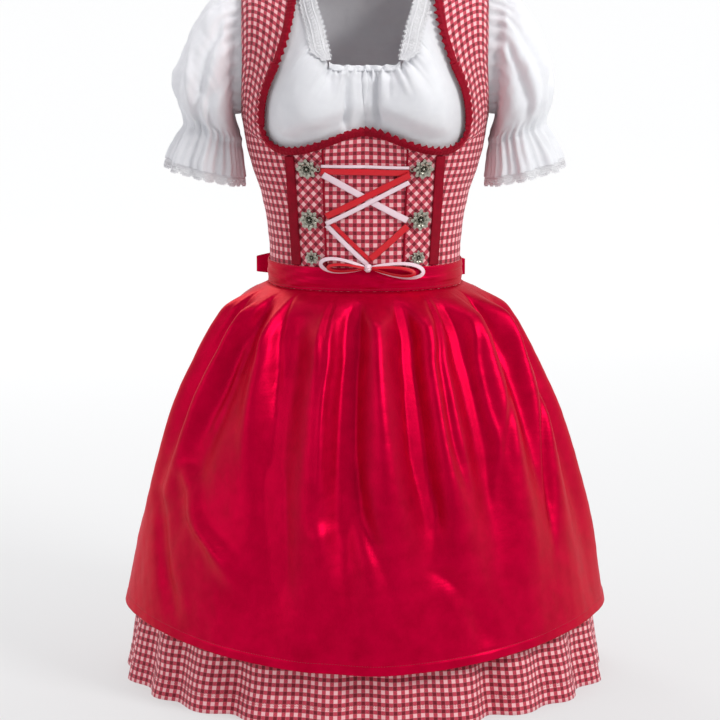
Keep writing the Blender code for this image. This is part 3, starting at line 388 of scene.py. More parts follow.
def ringRecipe():  # copies of a small part round a centre, from the first vertex on
    made = Recipe("ringOf", {
        "Part": "Object", "Count": "Int", "Reach": "Float", "Lift": "Float", "Start": "Float",
        "Cloth": "Material",
    })
    given = made.given
    points = made.node("GeometryNodeMeshCircle", {}, {"Vertices": given["Count"], "Radius": given["Reach"]})
    part = made.node("GeometryNodeObjectInfo", {}, {"Object": given["Part"]}, "Geometry")
    index = made.node("GeometryNodeInputIndex", {}, {})
    step = made.sum("DIVIDE", 2 * math.pi, given["Count"])
    angle = made.sum("MULTIPLY", index, step)
    turn = made.node("ShaderNodeCombineXYZ", {}, {2: angle})
    laid = made.node("GeometryNodeInstanceOnPoints", {}, {
        "Points": points, "Instance": part, "Rotation": turn,
    })
    place = made.node("ShaderNodeCombineXYZ", {}, {2: given["Lift"]})
    spin = made.node("ShaderNodeCombineXYZ", {}, {2: given["Start"]})
    moved = made.node("GeometryNodeTransform", {}, {
        "Geometry": laid, "Translation": place, "Rotation": spin,
    })
    joined = made.node("GeometryNodeJoinGeometry", {}, {0: given["Geometry"]})
    made.tree.links.new(moved, joined.node.inputs[0])
    made.end(joined, given["Cloth"])
    return made


recipes = {
    "stitches": stitchRecipe(),
    "thread": cordRecipe(),
    "gathers": gatherRecipe(),
    "ring": ringRecipe(),
}


def grown(piece, recipe, values):  # runs a recipe on a piece and keeps the plain mesh
    made = recipes[recipe]
    modifier = piece.modifiers.new("grow", "NODES")
    modifier.node_group = made.tree
    for socket in made.tree.interface.items_tree:
        if socket.in_out == "INPUT" and socket.name in values:
            modifier[socket.identifier] = values[socket.name]
    bpy.context.view_layer.update()
    graph = bpy.context.evaluated_depsgraph_get()
    mesh = bpy.data.meshes.new_from_object(piece.evaluated_get(graph), depsgraph=graph)
    piece.modifiers.clear()
    old = piece.data
    piece.data = mesh
    mesh.name = piece.name
    bpy.data.meshes.remove(old)
    for polygon in mesh.polygons:
        polygon.use_smooth = True
    return piece


# Cloth helpers
def through(knots, values):  # a smooth curve through each value at its knot
    knots = np.asarray(knots, float)
    values = np.asarray(values, float)
    slopes = np.gradient(values, knots, axis=0)

    def at(where):
        where = np.clip(np.asarray(where, float), knots[0], knots[-1])
        i = np.clip(np.searchsorted(knots, where, side="right") - 1, 0, len(knots) - 2)
        span = knots[i + 1] - knots[i]
        s = (where - knots[i]) / span
        if values.ndim > 1:
            s, span = s[..., None], span[..., None]
        early = (1 + 2 * s) * (1 - s) ** 2 * values[i] + s * (1 - s) ** 2 * span * slopes[i]
        late = s * s * (3 - 2 * s) * values[i + 1] - s * s * (1 - s) * span * slopes[i + 1]
        return early + late

    return at


def eased(share):
    share = np.clip(share, 0.0, 1.0)
    return share * share * (3 - 2 * share)


def unit(vectors):
    return vectors / np.linalg.norm(vectors, axis=-1, keepdims=True)


def mirrored(points, mirror=True):  # the wearer's other side
    return points * np.array([-1.0, 1.0, 1.0]) if mirror else points


leftAndRight = (("Left", False), ("Right", True))


def circle(centre, along, up, size, count=8):  # points of a small ring
    turns = np.linspace(0, 2 * math.pi, count, endpoint=False)[:, None]
    return centre + size * (np.cos(turns) * along + np.sin(turns) * up)


def ripple(points, size, seed):  # smooth unevenness from -1 to 1, about size across
    random = np.random.default_rng(seed)
    total = 0
    for _ in range(6):
        way = random.normal(size=3)
        way *= 2 * math.pi / (size * random.uniform(0.7, 1.6)) / np.linalg.norm(way)
        total = total + np.sin(points @ way + random.uniform(0, 2 * math.pi))
    return total / 3.5


def steps(points):  # length of each step along the first way of a grid
    return np.linalg.norm(np.diff(points, axis=0), axis=-1)


def runs(points):  # metres from the first point on
    step = steps(points)
    return np.concatenate([np.zeros((1, *step.shape[1:])), np.cumsum(step, axis=0)])


def clothRun(points):  # cut place of each point: metres across from the middle, and along
    along = runs(points)
    across = runs(points.swapaxes(0, 1)).swapaxes(0, 1)
    middle = points.shape[1] // 2
    return np.stack([across - across[:, middle:middle + 1], along], axis=-1)


def turned(cut, degrees):  # the same cut, laid on the cloth at an angle
    c, s = math.cos(math.radians(degrees)), math.sin(math.radians(degrees))
    return np.stack([cut[..., 0] * c - cut[..., 1] * s, cut[..., 0] * s + cut[..., 1] * c], axis=-1)


def newPiece(name, data):
    piece = bpy.data.objects.new(name, data)
    bpy.context.scene.collection.objects.link(piece)
    return piece


def walled(piece, thickness):  # a wall inwards from the outer face
    thick = piece.modifiers.new("wall", "SOLIDIFY")
    thick.thickness = thickness
    thick.offset = -1.0
    return piece


def marked(mesh, name, values):  # a number on each vertex, for a recipe or a finish
    mark = mesh.attributes.new(name, "FLOAT", "POINT")
    mark.data.foreach_set("value", np.asarray(values, np.float32).ravel())


# A piece from a grid of points, rows by columns: "ring" joins the last column to the first
def gridPiece(name, points, cut, paint, wall=0.0, inside=None, ring=False, bevel=0.0, marks=None):
    rows, columns = points.shape[:2]
    faces, corners = [], []
    across = columns if ring else columns - 1
    for i in range(rows - 1):
        for j in range(across):
            k = (j + 1) % columns
            low, high = i * columns, (i + 1) * columns
            faces.append((low + j, low + k, high + k, high + j))
            corners.append(((i, j), (i, j + 1), (i + 1, j + 1), (i + 1, j)))
    flat = points.reshape(-1, 3)
    mesh = bpy.data.meshes.new(name)
    mesh.from_pydata(flat.tolist(), [], faces)
    place = np.array(corners).reshape(-1, 2)
    layer = mesh.uv_layers.new(name="cloth")
    layer.data.foreach_set("uv", cut[place[:, 0], place[:, 1]].astype(np.float32).ravel())
    piece = newPiece(name, mesh)
    for key, values in (marks or {}).items():
        marked(mesh, key, np.broadcast_to(values, (rows, columns)))
    centres = flat[np.array(faces)].mean(axis=1)
    core = centres * np.array([0, 0, 1.0]) if inside is None else inside(centres)
    normals = np.empty(len(faces) * 3, np.float32)
    mesh.polygons.foreach_get("normal", normals)
    if np.sum(normals.reshape(-1, 3) * (centres - core)) < 0:
        mesh.flip_normals()
    mesh.polygons.foreach_set("use_smooth", np.ones(len(faces), bool))
    mesh.materials.append(finish[paint])
    if wall:
        walled(piece, wall)
    if bevel:
        soft = piece.modifiers.new("edge", "BEVEL")
        soft.width = bevel
        soft.segments = 2
        soft.limit_method = "ANGLE"
        soft.angle_limit = math.radians(60)
    return piece


def lines(name, paths, closed=False):  # loose edges, for the thread and stitch recipes
    points, edges = [], []
    for path in paths:
        first = len(points)
        points.extend(np.asarray(path).tolist())
        edges.extend((k, k + 1) for k in range(first, len(points) - 1))
        if closed:
            edges.append((len(points) - 1, first))
    mesh = bpy.data.meshes.new(name)
    mesh.from_pydata(points, edges, [])
    return newPiece(name, mesh)


stitch = {"Pitch": 0.0036, "Thread": 0.0003, "Length": 0.0026}


def sewn(name, paths, paint):  # a row of stitches along each path
    piece = grown(lines(name, paths), "stitches", {**stitch, "Cloth": finish[paint]})
    return worn(piece, paint)


def strung(name, paths, paint, radius, *nodes, sides=5, closed=False):  # a round thread along each path
    piece = grown(lines(name, paths, closed), "thread", {
        "Radius": radius, "Sides": sides, "Cloth": finish[paint],
    })
    return worn(piece, paint, *nodes)


def worn(piece, paint, *nodes):  # on the dress, with its slot and the nodes that it stands for
    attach(piece, "root")
    if nodes:
        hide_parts(*nodes)
    return piece


leastShare = 0.301  # of its rectangle


def cutSheet(piece):  # works out how large the flat cut was, but returns and keeps nothing
    mesh = piece.data
    place = np.empty(len(mesh.loops) * 2, np.float32)
    mesh.uv_layers["cloth"].data.foreach_get("uv", place)
    place = place.reshape(-1, 4, 2)
    width, length = (place.reshape(-1, 2).max(axis=0) - place.reshape(-1, 2).min(axis=0)).tolist()
    first, second = place[:, 2] - place[:, 0], place[:, 3] - place[:, 1]
    area = float(np.abs(first[:, 0] * second[:, 1] - first[:, 1] * second[:, 0]).sum() / 2)
    area = min(max(area, leastShare * width * length), width * length)


# The dress form, the same as the solids are cut on
shape = {
    "waist": -0.405,
    "shoulderSlope": 0.32,
    "neckHalfWidth": 0.080,
    "cup": {"side": 0.078, "height": -0.178, "rise": 0.046, "spread": 0.047, "below": 0.040, "above": 0.058},
}
formRows = np.array([  # level, height, half width, front, back, squareness
    (0.00, -0.405, 0.1265, 0.101, 0.096, 2.2),
    (0.12, -0.355, 0.1295, 0.103, 0.100, 2.2),
    (0.25, -0.305, 0.1385, 0.107, 0.107, 2.3),
    (0.37, -0.255, 0.1545, 0.111, 0.112, 2.4),
    (0.50, -0.200, 0.1645, 0.112, 0.115, 2.5),
    (0.62, -0.150, 0.1680, 0.109, 0.114, 2.6),
    (0.74, -0.100, 0.1690, 0.102, 0.108, 2.8),
])
formAt = through(formRows[:, 0], formRows[:, 1:])
chest = formRows[-1]


def section(level):
    level = np.asarray(level, float)
    rows = formAt(np.minimum(level, chest[0]))
    turn = np.clip((level - chest[0]) / (1 - chest[0]), 0, 1) * math.pi / 2
    height = rows[..., 0] * np.where(level > chest[0], 1 - np.sin(turn), 1)
    return height, rows[..., 1], rows[..., 2] * np.cos(turn), rows[..., 3] * np.cos(turn), rows[..., 4]


def cupRise(side, height):
    cup = shape["cup"]
    spread = np.where(height < cup["height"], cup["below"], cup["above"])
    across = (np.abs(side) - cup["side"]) / cup["spread"]
    return cup["rise"] * np.exp(-0.5 * across**2 - 0.5 * ((height - cup["height"]) / spread) ** 2)


def rounded(angle, square):  # a squarish round: its side and its depth
    across = np.sign(np.cos(angle)) * np.abs(np.cos(angle)) ** (2 / square)
    return across, np.sign(np.sin(angle)) * np.abs(np.sin(angle)) ** (2 / square)


def bareForm(angle, over):  # over runs 0 to 1 up the front and 1 to 2 down the back
    angle, over = np.broadcast_arrays(np.asarray(angle, float), np.asarray(over, float))
    atBack = over > 1
    level = np.where(atBack, 2 - over, over)
    height, halfWidth, front, back, square = section(level)
    across, deep = rounded(angle, square)
    x = halfWidth * across
    y = np.where(atBack, back * deep, -front * deep)
    slope = shape["shoulderSlope"] * np.maximum(np.abs(x) - shape["neckHalfWidth"], 0)
    z = height - slope * eased((level - 0.6) / 0.4)
    y = y - np.where(atBack, 0, cupRise(x, z) * np.clip(deep, 0, 1))
    return np.stack([x, y, z], axis=-1)


def form(places, out=0.0):  # points on the form at (angle, over), moved out along its normal
    angle, over = places[..., 0], places[..., 1]
    step = 1e-3
    up = bareForm(angle, over + step) - bareForm(angle, over - step)
    turn = bareForm(angle + step, over) - bareForm(angle - step, over)
    normal = np.cross(up, turn)
    normal /= np.maximum(np.linalg.norm(normal, axis=-1, keepdims=True), 1e-12)
    return bareForm(angle, over) + normal * np.asarray(out, float)[..., None]


def frontAngle(side, level):
    halfWidth, square = section(level)[1], section(level)[4]
    share = np.minimum(np.abs(side) / halfWidth, 1.0) ** (square / 2)
    return np.where(side >= 0, np.arccos(share), math.pi - np.arccos(share))


def sideAngle(depth, level):
    _, _, front, back, square = section(level)
    reach = np.maximum(np.where(depth > 0, back, front), 1e-6)
    return np.arcsin(np.minimum(np.abs(depth) / reach, 0.98) ** (square / 2))


def placed(angleAt, first, height, atBack):  # finds the level of each height by halving
    first, height = np.broadcast_arrays(np.asarray(first, float), np.asarray(height, float))
    low, high = np.zeros(first.shape), np.ones(first.shape)
    for _ in range(40):
        level = (low + high) / 2
        below = bareForm(angleAt(first, level), level)[..., 2] < height
        low, high = np.where(below, level, low), np.where(below, high, level)
    return np.stack([angleAt(first, level), np.where(atBack, 2 - level, level)], axis=-1)


def onFront(side, height, atBack=False):
    return placed(frontAngle, side, height, atBack)


def onSide(depth, height):
    return placed(sideAngle, depth, height, np.asarray(depth) > 0)


def neckEdge(points, atBack=False, count=160):  # from the centre to the shoulder
    points = np.array(points)
    run = runs(points)
    smooth = through(run, points)(np.linspace(0, run[-1], count))[:-1]
    edge = onFront(smooth[:, 0], smooth[:, 1], atBack)
    top = math.acos((points[-1, 0] / chest[2]) ** (chest[5] / 2))
    return np.vstack([edge, [(top, 1.0)]])


def armholeEdge(oval, atBack=False, count=96):  # from the underarm to the shoulder
    turns = np.linspace(-math.pi / 2, math.pi / 2, count)[:-1]
    facing = 1 if atBack else -1
    depth = facing * oval["halfDepth"] * np.cos(turns)
    edge = onSide(depth, oval["centre"] + oval["halfHeight"] * np.sin(turns))
    edge[0, 0] = 0.0
    return np.vstack([edge, [(edge[-1, 0], 1.0)]])


def sideSeam(bottom, top, count=40):
    heights = np.linspace(bottom, top, count)
    return placed(lambda side, level: 0.0 * level, 0.0 * heights, heights, False)


def behind(edge):
    return np.column_stack([edge[:, 0], 2 - edge[:, 1]])


def evenly(edge, count):
    run = runs(form(edge))
    where = np.linspace(0, run[-1], count)
    return np.column_stack([np.interp(where, run, edge[:, i]) for i in range(2)])


def between(first, last, count):
    share = np.linspace(0, 1, count)[None, :, None]
    return first[:, None, :] * (1 - share) + last[:, None, :] * share


dressNeckFront = [  # side, height
    (0.0000, -0.2105), (0.0200, -0.2125), (0.0390, -0.2185), (0.0565, -0.2250),
    (0.0850, -0.2345), (0.1000, -0.2365), (0.1150, -0.2340), (0.1270, -0.2250),
    (0.1330, -0.2080), (0.1330, -0.1850), (0.1280, -0.1580), (0.1140, -0.1230),
    (0.0995, -0.0700), (0.0950, -0.0400), (0.0920, 0.0000),
]
dressNeckBack = [
    (0.0000, -0.0900), (0.0320, -0.0880), (0.0600, -0.0780),
    (0.0800, -0.0570), (0.0890, -0.0290), (0.0920, 0.0000),
]
blouseNeckFront = [
    (0.0000, -0.1305), (0.0220, -0.1302), (0.0420, -0.1290), (0.0490, -0.1235),
    (0.0530, -0.1020), (0.0575, -0.0780), (0.0650, -0.0540), (0.0700, -0.0320), (0.0750, 0.0000),
]
blouseNeckBack = [
    (0.0000, -0.0300), (0.0250, -0.0290), (0.0500, -0.0220), (0.0680, -0.0110), (0.0750, 0.0000),
]
dressArmhole = {"centre": -0.1140, "halfHeight": 0.0880, "halfDepth": 0.0460}
blouseArmhole = {"centre": -0.1130, "halfHeight": 0.0830, "halfDepth": 0.0405}
neckTop = through(*zip(*dressNeckFront[:6]))


# Bodice: three front panels, two sides with their straps, two backs
bodice = {
    "lift": 0.0050,  # from the form to the cloth's outer face
    "wall": 0.0020,
    "centre": (0.0500, 0.0565),  # half width at the waist and at the neckline
    "band": (0.0890, 0.0985),
    "seam": 0.00015,
    "crease": 0.00045,
    "rows": 70,
    "biasTurn": 45.0,
}
underarm = dressArmhole["centre"] - dressArmhole["halfHeight"]


def panelLine(low, high):
    top = float(neckTop(abs(high)))
    share = np.linspace(0, 1, bodice["rows"])
    return onFront(low + (high - low) * share, shape["waist"] + (top - shape["waist"]) * share)


def bodicePanel(name, grid, node, turn=0.0, mirror=False, shift=(0.0, 0.0)):
    flat = form(grid, 0.0)
    creases = bodice["crease"] * ripple(flat * [1.0, 1.0, 2.6], 0.055, 11)
    points = form(grid, bodice["lift"] + creases)
    points = mirrored(points, mirror)
    cut = turned(clothRun(points) + np.array(shift), turn)
    piece = gridPiece(name, points, cut, "gingham", bodice["wall"], bevel=0.0005)
    worn(piece, "gingham", node)
    cutSheet(piece)
    return piece


def makeBodice():
    low, high = bodice["centre"]
    seam = bodice["seam"]
    share = np.linspace(-1, 1, 61)
    grid = np.stack([panelLine((low - seam) * s, (high - seam) * s) for s in share], axis=1)
    bodicePanel("bodiceCentre", grid, "bodice_centre", shift=(0.00275, 0.0))
    lows = np.linspace(low + seam, bodice["band"][0] - seam, 21)
    highs = np.linspace(high + seam, bodice["band"][1] - seam, 21)
    bias = np.stack([panelLine(a, b) for a, b in zip(lows, highs)], axis=1)
    line = panelLine(bodice["band"][0] + seam, bodice["band"][1] + seam)
    neck = neckEdge(dressNeckFront)
    corner = int(np.argmax(neck[:, 0] < line[-1, 0]))
    above = evenly(np.vstack([line[-1:], neck[corner:]]), 80)[1:]
    inner = np.vstack([line, above])
    outer = np.vstack([sideSeam(shape["waist"], underarm), armholeEdge(dressArmhole)[1:]])
    outer = evenly(outer, len(inner))
    outer[:, 0] = np.maximum(outer[:, 0], 0.0015)
    inner[-1, 1] = outer[-1, 1] = 1 - 0.0003
    sideGrid = between(inner, outer, 36)
    backNeck = neckEdge(dressNeckBack, True)
    bottom = float(onFront(0.0, shape["waist"], True)[1])
    centre = np.column_stack([np.full(60, math.pi / 2), np.linspace(bottom, backNeck[0, 1], 60)])
    backInner = evenly(np.vstack([centre[:-1], backNeck]), 110)
    backInner[:, 0] = np.minimum(backInner[:, 0], math.pi / 2 - 0.0015)
    backOuter = np.vstack([behind(sideSeam(shape["waist"], underarm)), armholeEdge(dressArmhole, True)[1:]])
    backOuter = evenly(backOuter, len(backInner))
    backOuter[:, 0] = np.maximum(backOuter[:, 0], 0.0015)
    backInner[-1, 1] = backOuter[-1, 1] = 1 + 0.0003
    backGrid = between(backInner, backOuter, 36)
    for word, mirror in leftAndRight:
        node = word.lower()
        bodicePanel("bodiceBias" + word, bias, "bodice_bias_" + node, bodice["biasTurn"], mirror)
        bodicePanel("bodiceSide" + word, sideGrid, "bodice_side_" + node, 0.0, mirror)
        bodicePanel("bodiceBack" + word, backGrid, "bodice_back_" + node, 0.0, mirror)
    rims = []
    for edge in (armholeEdge(dressArmhole)[2:-2], armholeEdge(dressArmhole, True)[2:-2]):
        rim = form(edge + np.array([0.022, 0.0]), bodice["lift"] + 0.0002)
        rims += [rim, mirrored(rim)]
    sewn("armholeStitches", rims, "redThread")


makeBodice()
print("bodice made")


# Velvet: bands down the outer seams, piping down the inner ones, the frilled neckline edge
velvet = {
    "bandWidth": 0.0122,
    "bandLift": 0.0020,
    "pipingRadius": 0.0015,
    "trimOuter": 0.0064,  # from the neckline out over the gingham
    "trimInner": 0.0062,  # and in over the blouse
    "frill": 0.0019,
    "frillPitch": 0.0104,
    "foot": -0.3965,  # the height where the bands and the piping end
    "bandTop": -0.2440,
    "pipingTop": -0.2330,
    "profile": [  # across the trim from its outer edge: inward, out, how much it frills
        (-1.00, 0.0000, 0.15), (-0.94, 0.0011, 0.15), (-0.65, 0.0014, 0.10),
        (-0.30, 0.0022, 0.10), (0.00, 0.0030, 0.10), (0.22, 0.0032, 0.15),
        (0.45, 0.0028, 0.45), (0.75, 0.0020, 0.80), (1.00, 0.0014, 1.00),
    ],
}


def bandLine(low, high, foot, top, count):
    share = np.linspace(0, 1, count)
    return np.column_stack([low + (high - low) * share, foot + (top - foot) * share])


def strap(line, width, lift, across=9, crown=0.0005):  # a flat strip laid on the bodice
    along = unit(np.gradient(line, axis=0))
    side = np.column_stack([-along[:, 1], along[:, 0]])
    halves = np.linspace(-0.5, 0.5, across)
    spots = line[:, None, :] + side[:, None, :] * (halves * width)[None, :, None]
    swell = crown * (1 - (2 * halves) ** 4)
    return form(onFront(spots[..., 0], spots[..., 1]), bodice["lift"] + lift + swell[None, :])


def makeVelvetTrim():
    for word, mirror in leftAndRight:
        low, high = bodice["band"]
        line = bandLine(low + 0.0004, high, velvet["foot"], velvet["bandTop"], 90)
        points = strap(line, velvet["bandWidth"], velvet["bandLift"] - 0.0004)
        points = mirrored(points, mirror)
        band = gridPiece("velvetBand" + word, points, clothRun(points), "velvet", 0.0012)
        worn(band, "velvet", "velvet_band_" + word.lower())
        cutSheet(band)
        stitching = []
        for share in (-0.44, 0.44):
            path = line + np.array([share * velvet["bandWidth"], 0.0])
            path = form(onFront(path[:, 0], path[:, 1]), bodice["lift"] + velvet["bandLift"] + 0.0001)
            stitching.append(mirrored(path, mirror))
        sewn("bandStitches" + word, stitching, "velvet")
        low, high = bodice["centre"]
        line = bandLine(low + 0.0003, high, velvet["foot"], velvet["pipingTop"], 90)
        cord = mirrored(form(onFront(line[:, 0], line[:, 1]), bodice["lift"] + 0.0008), mirror)
        node = "piping_" + word.lower()
        strung("piping" + word, [cord], "velvet", velvet["pipingRadius"], node, sides=8)
    makeNecklineTrim()


def makeNecklineTrim():  # one gathered length round the whole neckline
    front = neckEdge(dressNeckFront, count=240)
    back = neckEdge(dressNeckBack, True, 160)
    half = evenly(np.vstack([front, back[::-1][1:]]), 560)
    other = half[::-1][1:-1] * np.array([-1, 1]) + np.array([math.pi, 0])
    loop = np.vstack([half, other])
    base = form(loop, bodice["lift"] + 0.0009)
    normal = form(loop, 1.0) - form(loop, 0.0)
    along = unit(np.roll(base, -1, axis=0) - np.roll(base, 1, axis=0))
    inward = np.cross(along, normal)
    inward *= np.sign(np.sum(inward * (np.array([0.0, 0.0, -0.1]) - base), axis=1))[:, None]
    run = runs(base)
    length = run[-1] + np.linalg.norm(base[0] - base[-1])
    waves = round(length / velvet["frillPitch"])
    turn = 2 * math.pi * run / length
    uneven = 0.35 * np.sin(5 * turn) + 0.25 * np.sin(13 * turn)
    wave = np.sin(waves * turn + 1.6 * uneven)
    fine = np.sin((waves * 2 + 7) * turn + uneven)
    ring = []
    for reach, out, free in velvet["profile"]:
        size = velvet["trimInner"] if reach > 0 else velvet["trimOuter"]
        shift = reach * size + free * velvet["frill"] * (0.75 * wave * (1 + uneven) + 0.30 * fine)
        lift = out + free * 0.0010 * np.cos(waves * turn + 1.6 * uneven)
        pucker = 0.00035 * (1 - free) * fine
        ring.append(base + inward * shift[:, None] + normal * (lift + pucker)[:, None])
    ring = np.stack(ring, axis=0)
    cut = np.zeros((len(ring), len(loop) + 1, 2))
    cut[..., 0] = np.append(run, length)[None, :] * 1.25
    cut[..., 1] = np.array([reach * 0.0075 for reach, out, free in velvet["profile"]])[:, None]
    trim = gridPiece("necklineTrim", ring, cut, "velvet", 0.0009, ring=True)
    worn(trim, "velvet", "neckline_trim")
    cutSheet(trim)
    seam = base + inward * (0.22 * velvet["trimInner"]) + normal * 0.0033
    sewn("trimStitches", [seam], "velvet")


makeVelvetTrim()
print("velvet made")


# Lacing hooks: a silver flower with a dark cup and a bright bead
hooks = {
    "top": {"side": 0.0757, "height": -0.2600, "radius": 0.0150, "lift": 0.0010},
    "middle": {"side": 0.0715, "height": -0.3320, "radius": 0.0150, "lift": 0.0007},
    "bottom": {"side": 0.0690, "height": -0.3850, "radius": 0.0100, "lift": 0.0004},
}
hookForm = {  # all in shares of the radius
    "plate": [(0.0, 0.05), (0.55, 0.05), (0.66, 0.10), (0.70, 0.05), (0.66, 0.0)],  # reach, out
    "cup": [
        (0.18, 0.12), (0.24, 0.10), (0.34, 0.15), (0.39, 0.24), (0.43, 0.27), (0.47, 0.22), (0.49, 0.05),
    ],
    "petals": 8,
    "outerPetal": (0.52, 0.36, 0.16),  # length, width, rise
    "innerPetal": (0.34, 0.24, 0.17),
    "bead": 0.052,
    "ball": 0.13,
    "eye": 0.0036,  # metres: the eye on the side, and its wire
    "wire": 0.0007,
}


def petalMesh(length, width, rise):  # one leaf along +X, cupped, with a raised vein
    count, half = 9, 5
    places = np.linspace(0, 1, count)
    points, faces = [], []
    for s in places:
        spread = width / 2 * math.sin(math.pi * min(s * 0.86 + 0.12, 1.0)) ** 0.8
        for a in np.linspace(-1, 1, half):
            vein = 0.035 * (1 - abs(a)) ** 3
            curl = 0.07 * a * a
            arch = rise * math.sin(math.pi * (0.15 + 0.62 * s))
            points.append((s * length, a * spread, arch + vein + curl))
    for i in range(count - 1):
        for j in range(half - 1):
            k = i * half + j
            faces.append((k, k + half, k + half + 1, k + 1))
    mesh = bpy.data.meshes.new("petal")
    mesh.from_pydata(points, [], faces)
    return walled(newPiece("petal", mesh), 0.05)


def beadMesh(radius):
    mesh = bpy.data.meshes.new("bead")
    ball = bmesh.new()
    bmesh.ops.create_uvsphere(ball, u_segments=8, v_segments=6, radius=radius)
    ball.to_mesh(mesh)
    ball.free()
    return newPiece("bead", mesh)


def turnedMesh(name, profiles, around=48):  # profiles spun round +Z, as one object
    points, faces = [], []
    for profile in profiles:
        first = len(points)
        for k in range(around):
            angle = 2 * math.pi * k / around
            points += [(r * math.cos(angle), r * math.sin(angle), z) for r, z in profile]
        count = len(profile)
        for k in range(around):
            for j in range(count - 1):
                a, b = first + k * count + j, first + (k + 1) % around * count + j
                faces.append((a, a + 1, b + 1, b))
    mesh = bpy.data.meshes.new(name)
    mesh.from_pydata(points, [], faces)
    work = bmesh.new()
    work.from_mesh(mesh)
    bmesh.ops.remove_doubles(work, verts=work.verts, dist=1e-5)
    bmesh.ops.recalc_face_normals(work, faces=work.faces)
    work.to_mesh(mesh)
    work.free()
    return newPiece(name, mesh)


def makeHooks():
    h = hookForm
    flower = turnedMesh("flower", [h["plate"], h["cup"]])
    outer, inner = petalMesh(*h["outerPetal"]), petalMesh(*h["innerPetal"])
    bead, ball = beadMesh(h["bead"]), beadMesh(h["ball"])
    rings = [  # part, count, reach, lift, start
        (outer, h["petals"], 0.47, 0.05, 0.0), (inner, h["petals"], 0.44, 0.14, math.pi / h["petals"]),
        (bead, h["petals"] * 2, 0.40, 0.30, 0.1), (bead, h["petals"], 0.90, 0.19, 0.0),
        (bead, 6, 0.25, 0.17, 0.3), (ball, 3, 0.0001, 0.20, 0.0),
    ]
    for part, count, reach, lift, start in rings:
        grown(flower, "ring", {
            "Part": part, "Count": count, "Reach": reach, "Lift": lift, "Start": start,
            "Cloth": finish["silver"],
        })
    for helper in (outer, inner, bead, ball):
        bpy.data.objects.remove(helper)
    petals = np.array([v.co for v in flower.data.vertices])
    faces = [tuple(p.vertices) for p in flower.data.polygons]
    reach = np.hypot(petals[:, 0], petals[:, 1])
    hollow = np.clip(1.35 - (petals[:, 2] - 0.03) / 0.17, 0, 1) * np.where(reach < 0.80, 1.0, 0.55)
    for level, hook in hooks.items():
        for word, mirror in leftAndRight:
            setHook(level, hook, word, mirror, petals, faces, hollow)
    bpy.data.objects.remove(flower)


def setHook(level, hook, word, mirror, petals, faces, hollow):  # one flower and its eye, on the bodice
    spot = onFront(np.array([hook["side"]]), np.array([hook["height"]]))
    centre = form(spot)[0]
    ahead = unit(form(spot, 1.0)[0] - centre)
    rightward = unit(np.cross([0.0, 0.0, 1.0], ahead))
    upward = np.cross(ahead, rightward)
    size, out = hook["radius"], bodice["lift"] + hook["lift"]
    points = petals[:, :1] * rightward + petals[:, 1:2] * upward + petals[:, 2:] * ahead
    points = centre + ahead * (out + 0.0004) + size * points
    name = "hook" + level.capitalize() + word
    mesh = bpy.data.meshes.new(name)
    mesh.from_pydata(mirrored(points, mirror).tolist(), [], faces)
    if mirror:
        mesh.flip_normals()
    marked(mesh, "hollow", hollow)
    mesh.polygons.foreach_set("use_smooth", np.ones(len(faces), bool))
    mesh.materials.append(finish["silver"])
    worn(newPiece(name, mesh), "silver", f"hook_{level}_{word.lower()}")
    beside = centre + ahead * (out + 0.0018) - rightward * size * 1.02
    eye = circle(beside, rightward * 0.8, upward, hookForm["eye"], 24)
    wire = strung(
        name + "Eye", [mirrored(eye, mirror)], "silver", hookForm["wire"], sides=6, closed=True
    )
    marked(wire.data, "hollow", np.full(len(wire.data.vertices), 0.25))


makeHooks()
print("hooks made")


# Lacing: a white and a red satin ribbon, laced between the hooks and tied in a bow
lacing = {
    "wall": 0.0007,
    "stretches": [  # name, node, colour, start, end, width, lift: places are side and height
        ("topWhite", "lace_top_white", "white", (-0.0580, -0.2560), (0.0580, -0.2585), 0.0045, 0.0022),
        ("topRed", "lace_top_red", "red", (-0.0580, -0.2635), (0.0580, -0.2660), 0.0090, 0.0022),
        ("downRightWhite", "lace_down_right_white", "white",
         (-0.0550, -0.2680), (0.0545, -0.3320), 0.0090, 0.0034),
        ("downLeftRed", "lace_down_left_red", "red", (0.0580, -0.2680), (-0.0500, -0.3260), 0.0090, 0.0050),
        ("downLeftWhite", "lace_down_left_white", "white",
         (0.0570, -0.2785), (-0.0500, -0.3362), 0.0065, 0.0050),
        ("lowLeftWhite", "lace_low_left_white", "white",
         (-0.0500, -0.3390), (0.0025, -0.3925), 0.0065, 0.0018),
        ("lowLeftRed", "lace_low_left_red", "red", (-0.0450, -0.3341), (0.0073, -0.3875), 0.0060, 0.0018),
        ("lowRightRed", "lace_low_right_red", "red", (0.0545, -0.3400), (0.0070, -0.3845), 0.0090, 0.0032),
    ],
    "knot": (0.004, -0.1142, -0.3965),
    "knotReach": (0.0054, 0.0050, 0.0058),
    "waistband": (0.1315, 0.1060, 2.2),  # half width, depth and squareness of the skirt's top
    "loops": [  # name, node, colour, reach, drop, swell, width, front
        ("loopLeftWhite", "lace_loop_left_white", "white", 0.0710, -0.0080, 0.0125, 0.0064, 0.0030),
        ("loopLeftRed", "lace_loop_left_red", "red", 0.0590, -0.0085, 0.0070, 0.0056, 0.0084),
        ("loopRightWhite", "lace_loop_right_white", "white", -0.0600, 0.0040, 0.0115, 0.0066, 0.0030),
        ("loopRightRed", "lace_loop_right_red", "red", -0.0500, 0.0000, 0.0060, 0.0054, 0.0084),
    ],
}


def ribbonCut(points):  # -1 to 1 across the ribbon, metres along it
    rows, columns = points.shape[:2]
    across = np.broadcast_to(np.linspace(-1, 1, columns), (rows, columns))
    along = np.broadcast_to(runs(points[:, columns // 2])[:, None], (rows, columns))
    return np.stack([across, along], axis=-1)


def ribbonSheet(points):
    width = float(np.linalg.norm(points[:, 0] - points[:, -1], axis=1).mean())


